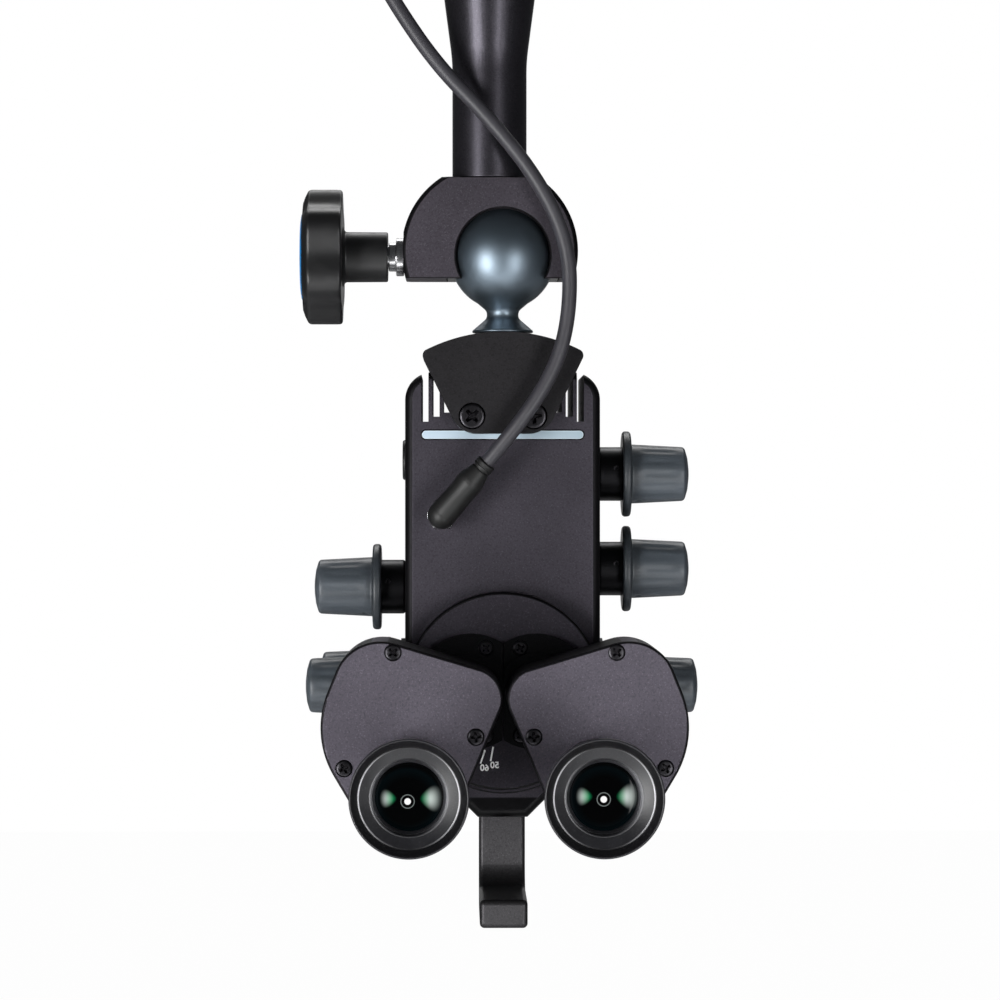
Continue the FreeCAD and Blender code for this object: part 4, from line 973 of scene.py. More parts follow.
def phillips_head(radius: float, height: float) -> Mesh:
    """A screw head with a cross recess, its face towards -Y at the origin, in metres.

    Args:
        radius: Radius of the head in millimetres.
        height: Height of the head in millimetres.

    Returns:
        The head's mesh.
    """
    shape = bmesh.new()
    steps = 48
    profile = ((height, radius), (0.45, radius), (0.16, radius - 0.14), (0.0, radius - 0.45),
               (-0.06, radius * 0.78))
    rings = []
    for along, reach in profile:
        ring = []
        for step in range(steps):
            angle = math.tau * step / steps
            ring.append(shape.verts.new((reach * math.cos(angle), along, reach * math.sin(angle))))
        rings.append(ring)
    for first, second in zip(rings, rings[1:]):
        add_wall(shape, first, second)
    shape.faces.new(rings[0])
    arm, half = radius * 0.62, radius * 0.13
    corners = [(arm, half), (half * 1.4, half * 1.4), (half, arm)]
    cross = []
    for turn in range(4):
        cosine, sine = round(math.cos(turn * math.pi / 2)), round(math.sin(turn * math.pi / 2))
        for x, z in corners:
            cross.append((x * cosine - z * sine, x * sine + z * cosine))
    levels = []
    for level, share in ((-0.06, 1.0), (height * 0.75, 0.55)):
        levels.append([shape.verts.new((x * share, level, z * share)) for x, z in cross])
    edges = []
    for loop in (rings[-1], levels[0]):
        for index, vert in enumerate(loop):
            after = loop[(index + 1) % len(loop)]
            edge = shape.edges.get((vert, after)) or shape.edges.new((vert, after))
            edges.append(edge)
    bmesh.ops.triangle_fill(shape, use_beauty=True, edges=edges)
    inside = [face for face in shape.faces if all(vert in levels[0] for vert in face.verts)]
    bmesh.ops.delete(shape, geom=inside, context="FACES_ONLY")
    add_wall(shape, levels[0], levels[1])
    shape.faces.new(levels[1])
    return mesh_of(shape, "phillips_head")


class NodeGroup(Nodes):
    """A Geometry Nodes tree with named inputs."""

    def __init__(self, name: str) -> None:
        """Start a tree with a mesh going in and one coming out.

        Args:
            name: Name of the tree.
        """
        super().__init__(bpy.data.node_groups.new(name, "GeometryNodeTree"))
        for way in ("INPUT", "OUTPUT"):
            self.tree.interface.new_socket("Geometry", in_out=way, socket_type="NodeSocketGeometry")
        self.start = self.tree.nodes.new("NodeGroupInput")
        self.end = self.tree.nodes.new("NodeGroupOutput")
        self.names: dict[str, str] = {}

    def input(self, name: str, kind: str) -> Shade:
        """Add a named input and return its socket inside the tree.

        Args:
            name: Name of the input.
            kind: Blender's name of its socket's type.

        Returns:
            Its socket inside the tree.
        """
        item = self.tree.interface.new_socket(name, in_out="INPUT", socket_type=kind)
        self.names[name] = item.identifier
        return Shade(self, next(out for out in self.start.outputs if out.identifier == item.identifier))

    def bake(self, mesh: Mesh, values: dict[str, Any]) -> Mesh:
        """Run the tree on a mesh with these inputs, and return the plain mesh that comes out.

        Args:
            mesh: The mesh that goes in.
            values: The inputs' values by name.

        Returns:
            The mesh that comes out.
        """
        holder = linked("holder", mesh)
        modifier = holder.modifiers.new("Repeat", "NODES")
        modifier.node_group = self.tree
        for name, value in values.items():
            modifier[self.names[name]] = value
        return evaluated(holder)


def repeated_tree() -> NodeGroup:
    """A tree that sets one piece on each point of a mesh, turned at random round an axis.

    Returns:
        The tree.
    """
    group = NodeGroup("repeated_piece")
    piece = group.input("Piece", "NodeSocketObject")
    turn = group.input("Turn", "NodeSocketVector")
    material = group.input("Finish", "NodeSocketMaterial")
    points = Shade(group, group.start.outputs[0])
    shape = group.add("GeometryNodeObjectInfo", {}, {"Object": piece}, "Geometry")
    span = {0: (0.0, 0.0, 0.0), 1: turn, "Seed": 7}
    angles = group.add("FunctionNodeRandomValue", {"data_type": "FLOAT_VECTOR"}, span)
    spread = {"Points": points, "Instance": shape, "Rotation": angles}
    copies = group.add("GeometryNodeInstanceOnPoints", {}, spread)
    real = group.add("GeometryNodeRealizeInstances", {}, {0: copies})
    dressed = group.add("GeometryNodeSetMaterial", {}, {"Geometry": real, "Material": material})
    group.feed(group.end.inputs[0], dressed)
    return group


def repeated(base: Mesh, places: Iterable[Point], turn: Point,
             material: Material) -> Mesh:
    """Repeat a mesh at places given in millimetres.

    Args:
        base: The mesh that is repeated.
        places: Where each one goes.
        turn: Largest random turn round each axis, in radians.
        material: Its finish.

    Returns:
        One plain mesh with all of them.
    """
    points = bpy.data.meshes.new("places")
    points.from_pydata([tuple(c * MM for c in place) for place in places], [], [])
    holder = linked("repeated_base", base)
    group = repeated_tree()
    baked = group.bake(points, {"Piece": holder, "Turn": turn, "Finish": material})
    bpy.data.objects.remove(holder)
    return baked


def head_place(side: float, depth: float, drop: float) -> Point:
    """A point on the head in millimetres, with its drop below the ball's centre."""
    return (HEAD_X + side, depth, BALL_Z - drop)


@dataclass
class Studio:
    """Camera, lamps, pale floor and white surroundings."""

    lens: float = 120.9
    stand: Point = (-0.0105, -1.150, -0.245)
    yaw: float = 0.01226
    floor_height: float = -0.95
    backdrop: tuple[float, float] = (0.94, 0.985)
    dim: float = 0.07
    floor_glow: float = 0.985
    aim: Point = (0.0, 0.0, -0.25)
    lamps: tuple[tuple[str, Point, tuple[float, float], float], ...] = (
        ("lamp_left", (-0.78, -1.03, -0.50), (0.40, 0.80), 17.0),
        ("lamp_right", (0.58, -1.14, -0.50), (0.30, 0.80), 7.0),
        ("lamp_low", (0.05, -0.60, -0.95), (0.5, 0.3), 2.0),
        ("lamp_rear", (0.0, 0.80, 0.75), (1.2, 0.5), 8.0),
    )

    def camera(self) -> None:
        """Place the camera in front of the eyepieces."""
        data = bpy.data.cameras.new("Camera")
        data.lens = self.lens
        data.sensor_width = 36
        data.clip_start = 0.01
        data.clip_end = 30
        camera = linked("Camera", data)
        camera.location = self.stand
        camera.rotation_euler = (math.pi / 2, 0, -self.yaw)
        bpy.context.scene.camera = camera

    def lamp(self, name: str, place: Point, size: tuple[float, float], power: float) -> None:
        """Add one soft lamp, aimed at the part's middle.

        Args:
            name: Name of the lamp.
            place: Where it stands, in metres.
            size: Width and height in metres.
            power: Power in watts.
        """
        data = bpy.data.lights.new(name, "AREA")
        data.shape = "RECTANGLE"
        data.size, data.size_y = size
        data.energy = power
        lamp = linked(name, data)
        lamp.location = place
        lamp.rotation_euler = (Vector(self.aim) - Vector(place)).to_track_quat("-Z", "Y").to_euler()

    def surroundings(self) -> None:
        """White for the camera and for reflections from behind, and dim soft light elsewhere."""
        world = bpy.data.worlds.new("Surroundings")
        bpy.context.scene.world = world
        world.use_nodes = True
        nodes = Nodes(world.node_tree)
        seen = nodes.add("ShaderNodeLightPath", {}, {}, "Is Camera Ray")
        mirrored = nodes.add("ShaderNodeLightPath", {}, {}, "Is Glossy Ray")
        through = nodes.add("ShaderNodeLightPath", {}, {}, "Is Transmission Ray")
        heading = nodes.add("ShaderNodeTexCoord", {}, {}, "Generated")
        behind = nodes.add("ShaderNodeSeparateXYZ", {}, {0: heading}, "Y").clear_of(*self.backdrop)
        white = seen.highest(mirrored.highest(through) * behind)
        dim = nodes.add("ShaderNodeBackground", {}, {0: (0.93, 0.96, 1.0, 1), 1: self.dim})
        clear = nodes.add("ShaderNodeBackground", {}, {0: (1, 1, 1, 1), 1: 1.0})
        nodes.close("World Output", nodes.add("ShaderNodeMixShader", {}, {0: white, 1: dim, 2: clear}))

    def floor(self) -> None:
        """Lay the pale floor, which looks white to the camera and keeps a faint shadow."""
        shape = bmesh.new()
        bmesh.ops.create_grid(shape, x_segments=8, y_segments=8, size=6)
        for vert in shape.verts:
            vert.co.z = self.floor_height
        mesh = bpy.data.meshes.new("floor")
        shape.to_mesh(mesh)
        shape.free()
        floor = linked("floor", mesh)
        paint = Paint("pale_floor")
        paint.set(Base_Color=(0.86, 0.86, 0.87, 1), Roughness=0.8)
        seen = paint.add("ShaderNodeLightPath", {}, {}, "Is Camera Ray")
        glow = paint.add("ShaderNodeEmission", {}, {1: 1.0})
        plain = Shade(paint, paint.shader.outputs[0])
        share = seen * self.floor_glow
        paint.close("Material Output", paint.add("ShaderNodeMixShader", {}, {0: share, 1: plain, 2: glow}))
        mesh.materials.append(paint.material)

    def build(self) -> None:
        """Set up the whole studio."""
        self.camera()
        self.surroundings()
        self.floor()
        for lamp in self.lamps:
            self.lamp(*lamp)
        bpy.context.scene.view_settings.view_transform = "Standard"


@dataclass
class HeadCable:
    """The short cable from the plug on the head up to the arm, in a loose S."""

    diameter: float = 5.0
    steps: int = 24
    route: tuple[Point, ...] = (
        (-24.5, -9.2, -19.0),
        (-35.5, -13.2, -29.5),
        (-42.0, -15.6, -44.5),
        (-41.0, -17.2, -60.5),
        (-32.9, -18.3, -76.5),
        (-17.7, -19.0, -98.8),
        (-0.9, -19.2, -115.6),
        (16.9, -19.1, -137.9),
        (26.7, -19.3, -159.8),
        (26.9, -19.6, -181.7),
        (22.5, -20.2, -199.9),
        (10.824, -20.614, -218.461),
        (-0.995, -17.284, -232.298),
    )

    def line(self) -> list[Vector]:
        """Points along the route's spline, in metres.

        Returns:
            The points from the gland to the plug.
        """
        curve = bpy.data.curves.new("cable_line", "CURVE")
        curve.dimensions = "3D"
        curve.resolution_u = 16
        spline = curve.splines.new("NURBS")
        spline.points.add(len(self.route) - 1)
        for point, place in zip(spline.points, self.route):
            point.co = (*(c * MM for c in place), 1.0)
        spline.order_u = 3
        spline.use_endpoint_u = True
        mesh = evaluated(linked("cable_line", curve))
        points = [vert.co.copy() for vert in mesh.vertices]
        bpy.data.meshes.remove(mesh)
        return points

    def tube(self, points: Sequence[Vector], frames: Sequence[tuple[Vector, Vector]]) -> Mesh:
        """A closed tube along points with a frame of two directions at each.

        Args:
            points: Points along the middle, in metres.
            frames: Two directions across it at each point.

        Returns:
            The tube's mesh.
        """
        shape = bmesh.new()
        radius = self.diameter / 2 * MM
        rings = []
        for point, (first, second) in zip(points, frames):
            ring = []
            for step in range(self.steps):
                angle = math.tau * step / self.steps
                way = first * math.cos(angle) + second * math.sin(angle)
                ring.append(shape.verts.new(point + way * radius))
            rings.append(ring)
        for low, high in zip(rings, rings[1:]):
            add_wall(shape, low, high)
        shape.faces.new(rings[0][::-1])
        shape.faces.new(rings[-1])
        bmesh.ops.recalc_face_normals(shape, faces=shape.faces[:])
        mesh = bpy.data.meshes.new("cable")
        shape.to_mesh(mesh)
        shape.free()
        return mesh

    def build(self, finishes: Finishes) -> None:
        """Lay the cable as three spans, one for each joint of the ball.

        Args:
            finishes: Every finish of the head.
        """
        points = self.line()
        frames = []
        side = Vector((0, 1, 0))
        for index in range(len(points)):
            ahead = points[min(index + 1, len(points) - 1)] - points[max(index - 1, 0)]
            ahead.normalize()
            side = (side - ahead * side.dot(ahead)).normalized()
            frames.append((side, ahead.cross(side)))
        lengths = [0.0]
        for before, after in zip(points, points[1:]):
            lengths.append(lengths[-1] + (after - before).length)
        total = lengths[-1]
        cuts = [0]
        for share in (1 / 3, 2 / 3):
            cuts.append(min(range(len(points)), key=lambda i: abs(lengths[i] - total * share)))
        cuts.append(len(points) - 1)
        spans = (
            ("cable_upper_span", "arm", "liner", "object", ()),
            ("cable_middle_span", "liner", "ball", "object", ()),
            ("cable_lower_span", "ball", "head", "plug", ("plug_boot", "plug_elbow")),
        )
        for (name, first, second, far_end, ends), start, end in zip(spans, cuts, cuts[1:]):
            path = points[start:end + 1]
            mesh = self.tube(path, frames[start:end + 1])
            piece = linked(name, mesh)
            mesh.name = name
            mesh.materials.append(finishes.cable)
            for face in mesh.polygons:
                face.use_smooth = True
            mesh.set_sharp_from_angle(angle=math.radians(50))
            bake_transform(piece)
            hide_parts("head_cable")
            log.info("%s bends between %s and %s", name, first, second)


@dataclass
class Grip:
    """A silicone-covered grip on a side control, with its flange, flutes and dimple."""

    node: str
    start: float
    length: float
    depth: float
    drop: float
    flange: float = 15.0
    flange_width: float = 3.0
    radius: float = 10.3
    tip: float = 9.5
    core: float = 5.05
    core_length: float = 16.0
    flutes: int = 14
    flute_depth: float = 0.22
    fade: float = 3.0
    margin: float = 2.6
    tip_length: float = 3.4
    dimple: float = 1.5
    dimple_depth: float = 0.55

    def profile(self, way: float) -> list[tuple[float, ...]]:
        """Closed profile along X, pointing to the way's side.

        Args:
            way: One for a grip on the right, minus one for the left.

        Returns:
            The line's points.
        """
        near = self.flange_width
        line: list[tuple[float, ...]] = [
            (0.0, self.core),
            (0.0, self.flange, 1.1),
            (near, self.flange - 0.15, 1.1),
            (near + 0.02, self.radius + 0.02, 0.7),
            (near + 1.2, self.radius),
        ]
        body_end = self.length - self.tip_length
        rings = 26
        for number in range(1, rings + 1):
            share = number / rings
            along = near + 1.2 + (body_end - near - 1.2) * share
            line.append((along, self.radius + (self.tip - self.radius) * share))
        line += [
            (self.length - 1.5, self.tip - 0.15, 3.2),
            (self.length - 0.45, self.tip * 0.62, 3.0),
            (self.length, self.tip * 0.25, 2.5),
            (self.length, 0.0),
            (self.core_length, 0.0),
            (self.core_length, self.core),
        ]
        return [(way * (self.start + point[0]), *point[1:]) for point in line]

    def wave(self, angle: float, along: float, radius: float) -> float:
        """Flutes that fade out at both ends, and a small round dimple beside the flange.

        Args:
            angle: Angle round the axis in radians.
            along: Place along the axis in millimetres.
            radius: Radius there in millimetres.

        Returns:
            The change of radius.
        """
        if radius < self.tip - 0.3:
            return 0.0
        reach = abs(along) - self.start
        rise = min(1.0, max(0.0, (reach - self.flange_width - self.margin) / self.fade))
        fall = min(1.0, max(0.0, (self.length - self.tip_length - reach) / self.fade))
        groove = (0.5 + 0.5 * math.cos(angle * self.flutes)) ** 1.6
        depth = -self.flute_depth * groove * rise * fall if radius < self.radius + 0.4 else 0.0
        around = ((angle + 0.35 + math.pi / 2) % math.tau + math.pi) % math.tau - math.pi
        gap = math.hypot(around * self.radius, reach - self.flange_width - self.margin)
        if gap < self.dimple and radius < self.radius + 0.4:
            depth -= self.dimple_depth * (1 - (gap / self.dimple) ** 2)
        return depth

    def build(self, finishes: Finishes) -> None:
        """Make the grip's cover.

        Args:
            finishes: Every finish of the head.
        """
        way = -1.0 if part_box(self.node)[0][0] < 0 else 1.0
        at = head_place(0, self.depth, self.drop)
        mesh = turned(self.node, Axis.X, self.profile(way), at, 168, self.wave)
        skin = finishes.far_silicone if self.node == "focus_grip" else finishes.silicone
        finished(mesh, self.node + "_cover", skin, body_of(self.node), self.node,
                 slot="grip_silicone", smooth=50)


@dataclass
class Eyepiece:
    """Eyepiece barrel, its coated eye lens and the flared eyecup."""

    side: float
    label: str
    eye_side: float = 30.6
    eye_drop: float = 176.4
    back: float = -66.3
    bore: float = 10.85
    neck: float = 12.6
    wall: float = 15.7
    cup_radius: float = 16.2
    # Shift of the painted pupil and glints from the lens's axis, in millimetres.
    painted_glint_offset: tuple[float, float] = (0.0, -0.9)

    def build(self, finishes: Finishes) -> None:
        """Make the eyepiece.

        Args:
            finishes: Every finish of the head.
        """
        at = head_place(self.side * self.eye_side, 0, self.eye_drop)
        body = f"{self.label}_ear"
        bore, neck, wall, cup = self.bore, self.neck, self.wall, self.cup_radius
        barrel = turned("barrel", Axis.Y, [
            (-50.0, bore), (-50.0, neck), (-58.0, neck), (-58.0, wall, 0.4), (-60.2, wall, 0.3),
            (-60.5, 15.3, 0.2), (-60.9, 15.3, 0.2), (-61.2, wall, 0.3), (-66.0, wall, 0.9), (-66.0, neck),
            (-94.6, neck, 0.4), (-95.0, 12.1, 0.2), (-95.0, 11.7, 0.2), (-94.3, bore, 0.1), (-93.4, bore),
        ], at, 128)
        finished(barrel, f"{self.label}_barrel", finishes.ring, body, f"{self.label}_eyepiece_barrel",
                 slot="cell_alloy")
        lens = turned("lens", Axis.Y, [
            (-93.9, 0.0), (-93.86, 2.4), (-93.72, 5.0), (-93.5, 7.6), (-93.1, 9.9, 0.4), (-92.8, 10.8),
            (-89.0, 10.8), (-89.0, 0.0),
        ], at, 128)
        over, up = self.painted_glint_offset
        glass = EyeGlass(f"{self.label}_eye_glass", (at[0] + over) * MM, (at[2] + up) * MM).make()
        finished(lens, f"{self.label}_lens", glass, body, f"{self.label}_eye_lens",
                 slot="optical_glass", smooth=60)
        sleeve = turned("cup", Axis.Y, [
            (self.back, 12.9), (self.back, cup, 1.0), (-69.4, cup, 0.4), (-69.8, 15.8, 0.2),
            (-70.6, 15.8, 0.2), (-71.0, cup, 0.4), (-91.0, cup, 8.0), (-98.6, 18.6, 3.0),
            (-101.6, 18.9, 0.7), (-102.7, 18.85, 0.3), (-103.0, 18.4, 0.25), (-102.7, 18.05, 0.3),
            (-100.5, 16.5, 1.2), (-100.0, 16.15, 0.2), (-100.3, 15.95, 0.15), (-100.1, 15.6, 0.3),
            (-98.4, 12.5, 0.6), (-98.5, 12.2, 0.15), (-97.9, 11.85, 0.3),
            (-97.2, 11.75, 0.2), (-95.5, 11.75), (-95.5, 12.9),
        ], at, 160)
        rubber = CupRubber(f"{self.label}_eyecup_rubber", at[0] * MM, at[2] * MM).make()
        finished(sleeve, f"{self.label}_eyecup_skin", rubber, f"{self.label}_cup",
                 f"{self.label}_eyecup", slot="eyecup_rubber", smooth=50)


@dataclass
class ClampKnob:
    """Lobed clamp knob with its hub and the blue cap."""

    hub_start: float = -34.7
    hub_length: float = 15.5
    width: float = 13.5
    radius: float = 23.0
    cap_radius: float = 15.1
    cap_seat: float = 3.0
    seat_radius: float = 15.25
    lobes: int = 6
    dip: float = 3.2

    def wave(self, angle: float, along: float, radius: float) -> float:
        """Six soft scallops round the knob's rim, which run out towards its face.

        Args:
            angle: Angle round the axis in radians.
            along: Place along the axis in millimetres.
            radius: Radius there in millimetres.

        Returns:
            The change of radius.
        """
        if radius < self.cap_radius + 1.0 or along > self.hub_start - self.hub_length + 0.2:
            return 0.0
        pitch = math.tau / self.lobes
        turn = abs((angle + pitch / 2) % pitch - pitch / 2)
        share = min(1.0, turn / math.radians(28))
        dip = self.dip * (0.5 + 0.5 * math.cos(math.pi * share))
        reach = min(1.0, (radius - self.cap_radius - 1.0) / (self.radius - self.cap_radius - 1.0))
        return -dip * reach ** 0.6

    def build(self, finishes: Finishes) -> None:
        """Make the knob and its cap.

        Args:
            finishes: Every finish of the head.
        """
        at = (0.0, 0.0, BALL_Z)
        start = self.hub_start
        inner = start - self.hub_length
        outer = inner - self.width
        rim, seat = self.radius, self.seat_radius
        knob = turned("knob", Axis.X, [
            (start, 4.0), (start, 8.5, 0.6), (inner + 0.9, 8.6, 0.9), (inner + 0.4, 10.0, 0.4),
            (inner, 10.4), (inner, 16.0), (inner, 22.9, 1.0), (inner - 2.0, rim), (inner - 4.5, rim),
            (inner - 7.0, rim), (inner - 9.3, rim), (outer + 2.0, rim, 1.6), (outer + 0.7, 20.4, 1.2),
            (outer, 18.4, 0.8), (outer, 16.6), (outer, seat, 0.2), (outer + self.cap_seat, seat),
            (outer + self.cap_seat, 4.0),
        ], at, 288, self.wave)
        finished(even_shading(knob, 50), "clamp_knob_body", finishes.knob, "clamp_screw", "clamp_knob",
                 slot="knob_black", smooth=0)
        cap = turned("cap", Axis.X, [
            (outer + self.cap_seat, 0.0), (outer + self.cap_seat, self.cap_radius),
            (outer + 0.1, self.cap_radius, 0.3), (outer - 0.45, 14.6, 0.5),
            (outer - 0.62, 13.4), (outer - 0.50, 13.2), (outer - 0.72, 13.0), (outer - 0.84, 9.0),
            (outer - 0.9, 5.0), (outer - 0.9, 0.0),
        ], at, 128)
        finished(cap, "clamp_knob_disc", finishes.cap, "clamp_screw", "clamp_knob_cap",
                 slot="cap_blue", smooth=30)


@dataclass
class BallStud:
    """The slate-blue ball with its neck, flare and stem."""

    radius: float = 18.0
    stem: float = 6.0
    flare: float = 10.4
    neck: float = 5.4
    shoulder: float = 8.6
    steps: int = 32

    def build(self, finishes: Finishes) -> None:
        """Make the ball stud.

        Args:
            finishes: Every finish of the head.
        """
        profile: list[tuple[float, ...]] = [
            (-36.6, 0.0), (-36.6, self.stem, 0.4), (-25.9, self.stem), (-25.9, self.flare, 0.3),
            (-25.2, self.flare, 0.5), (-20.9, self.neck, 2.2), (-18.5, self.neck, 2.4),
        ]
        low = -math.acos(self.shoulder / self.radius)
        for number in range(self.steps + 1):
            angle = low + (math.pi / 2 - low) * number / self.steps
            profile.append((self.radius * math.sin(angle), max(0.0, self.radius * math.cos(angle))))
        profile[-1] = (self.radius, 0.0)
        mesh = turned("ball", Axis.Z, profile, (HEAD_X, 0.0, BALL_Z), 160)
        finished(mesh, "ball_and_neck", finishes.ball, "ball", "ball_stud", slot="ball_blue", smooth=35)


@dataclass
class Screws:
    """Sets of cross-recessed screws, each repeated from one head."""

    ear: tuple[tuple[float, float], ...] = ((36.4, 132.7), (9.45, 160.2), (52.3, 170.4))

    def set_of(self, name: str, node: str, radius: float, height: float, shank: tuple[float, float],
               places: Sequence[Point], finishes: Finishes) -> None:
        """Make one set of screws, each a head with its shank.

        Args:
            name: Name of the piece.
            node: The node that it stands for.
            radius: Radius of the heads.
            height: Height of the heads.
            shank: Radius and far end of the shanks.
            places: Where the heads' faces are.
            finishes: Every finish of the head.
        """
        core, end = shank
        base = phillips_head(radius, height)
        shape = bmesh.new()
        shape.from_mesh(base)
        bmesh.ops.scale(shape, vec=(1 / MM, 1 / MM, 1 / MM), verts=shape.verts[:])
        add_turned(shape, Axis.Y, [
            (height * 0.8, 0.0), (height * 0.8, core), (end - 0.6, core), (end, core * 0.6), (end, 0.0),
        ], (0, 0, 0), 24)
        whole = mesh_of(shape, "screw")
        mesh = repeated(whole, places, (0.0, 1.5, 0.0), finishes.screw)
        finished(mesh, name, finishes.screw, body_of(node), node, slot="black_screws", smooth=30)

    def build(self, finishes: Finishes) -> None:
        """Make every set of screws.

        Args:
            finishes: Every finish of the head.
        """
        self.set_of("bracket_screw_set", "bracket_screws", 4.25, 2.7, (2.0, 11.5),
                    [head_place(side * 10.5, -10.55, 54.6) for side in (-1, 1)], finishes)
        self.set_of("hub_screw_set", "hub_screws", 2.45, 1.5, (1.0, 1.6),
                    [head_place(side * 5.8, -14.95, OPTIC_DROP + rise * 14.7)
                     for side in (-1, 1) for rise in (-1, 1)], finishes)
        for label, side in (("left", -1), ("right", 1)):
            self.set_of(f"{label}_ear_screw_set", f"{label}_ear_screws", 2.7, 1.6, (1.15, 5.0),
                        [head_place(side * out, -57.8, drop) for out, drop in self.ear], finishes)


@dataclass
class HeadPlug:
    """Hexagonal chrome socket on the head's face and the angled plug in it."""

    side: float = -20.7
    drop: float = 88.2
    front: float = -2.0
    bend: float = -13.0
    elbow: float = 4.8
    nut: float = 5.45
    aim: Point = (0.6389, -0.18, 0.748)

    def socket(self, finishes: Finishes) -> None:
        """Make the hexagonal ring nut of the socket.

        Args:
            finishes: Every finish of the head.
        """
        centre = head_place(self.side, 0, self.drop)

        def corners(angle: float, along: float, radius: float) -> float:
            """Flats between six corners on the outer wall.

            Args:
                angle: Angle round the axis in radians.
                along: Place along the axis in millimetres.
                radius: Radius there in millimetres.

            Returns:
                The change of radius.
            """
            if radius < 4.6:
                return 0.0
            turn = (angle + math.pi / 6) % (math.pi / 3) - math.pi / 6
            flat = self.nut * math.cos(math.pi / 6) / math.cos(math.pi / 6 - abs(turn))
            return min(0.0, flat - radius)

        ring = turned("socket", Axis.Y, [
            (self.front, 3.55), (self.front, self.nut), (-5.5, self.nut), (-5.85, 5.2, 0.15),
            (-6.0, 4.95, 0.1), (-6.0, 3.75, 0.2), (-5.7, 3.55),
        ], centre, 144, corners)
        finished(even_shading(ring, 25), "cable_socket_nut", finishes.chrome, "head", "cable_socket",
                 slot="socket_chrome", smooth=0)

    def build(self, finishes: Finishes) -> None:
        """Make the socket, the elbow and the boot.

        Args:
            finishes: Every finish of the head.
        """
        self.socket(finishes)
        at = Vector(head_place(self.side, self.bend, self.drop))
        centre = head_place(self.side, 0, self.drop)
        turns = [step * math.pi / 48 for step in range(1, 24)]
        dome = [(self.bend - self.elbow * math.sin(turn), self.elbow * math.cos(turn)) for turn in turns]
        shape = bmesh.new()
        add_turned(shape, Axis.Y, [
            (self.front, 0.0), (self.front, 3.45), (-6.05, 3.45), (-6.05, 4.5, 0.3),
            (-6.9, self.elbow, 0.3), (self.bend, self.elbow), *dome, (self.bend - self.elbow, 0.0),
        ], centre, 96)
        finished(mesh_of(shape, "elbow"), "plug_elbow_skin", finishes.boot, "head", "plug_elbow",
                 slot="black_plastic", smooth=50)
        boot = turned("boot", Axis.Z, [
            (0.4, 0.0), (0.4, 4.72), (1.0, 4.76), (6.0, 4.62), (11.0, 4.48), (14.6, 4.75, 1.2),
            (15.8, 4.6, 1.0), (20.4, 3.3, 0.6), (20.7, 2.95, 0.1), (21.0, 2.95, 0.1), (21.2, 3.5, 0.2),
            (21.8, 3.55, 0.2), (22.1, 3.35, 0.1), (22.4, 3.35, 0.1), (22.7, 3.55, 0.2), (23.5, 3.5, 0.3),
            (23.8, 3.1, 0.2), (23.8, 0.0),
        ], (0, 0, 0), 96)
        turn = Vector((0, 0, 1)).rotation_difference(Vector(self.aim).normalized()).to_matrix().to_4x4()
        boot.transform(Matrix.Translation(at * MM) @ turn)
        finished(boot, "plug_boot_skin", finishes.boot, "head", "plug_boot", slot="cable_rubber", smooth=50)


@dataclass
class Collars:
    """Shafts of the side controls: merged copies with a set screw in each collar."""

    radius: float = 9.4

    def set_screw(self, name: str, side: float, depth: float, drop: float, body: str,
                  finishes: Finishes) -> None:
        """Make one socket set screw, sunk in the front of a collar.

        Args:
            name: Name of the piece.
            side: How far it is beside the head's axis.
            depth: Depth of the collar's axis.
            drop: Drop of the collar's axis.
            body: The body that carries it.
            finishes: Every finish of the head.
        """
        at = head_place(side, depth, drop - 1.9)
        face = -self.radius * 0.99

        def socket(angle: float, along: float, radius: float) -> float:
            """Flats of the six-sided socket.

            Args:
                angle: Angle round the axis in radians.
                along: Place along the axis in millimetres.
                radius: Radius there in millimetres.

            Returns:
                The change of radius.
            """
            if radius > 0.6 or radius < 0.01:
                return 0.0
            turn = angle % (math.pi / 3) - math.pi / 6
            return radius * (0.87 / math.cos(turn) - 1)

        screw = turned(name, Axis.Y, [
            (face + 1.5, 0.0), (face + 1.5, 1.1), (face + 0.05, 1.1, 0.1), (face, 0.95, 0.1),
            (face, 0.56, 0.05), (face + 0.8, 0.5), (face + 1.0, 0.0),
        ], at, 48, socket)
        finished(screw, name, finishes.screw, body, slot="black_screws", smooth=30)

    def build(self, finishes: Finishes) -> None:
        """Make every shaft and its set screw.

        Args:
            finishes: Every finish of the head.
        """
        for node, side, depth, drop in (
            ("brightness_shaft", 39.7, CONTROL_Y, BRIGHTNESS_DROP),
            ("filter_barrel", 39.7, CONTROL_Y, FILTER_DROP),
            ("spot_barrel", -39.7, CONTROL_Y, SPOT_DROP),
            ("focus_shaft", -36.6, FOCUS_Y, OPTIC_DROP),
        ):
            body = body_of(node)
            carried(node, finishes.collar, "black_plastic", 0.25)
            self.set_screw(f"{body}_set_screw", side, depth, drop, body, finishes)


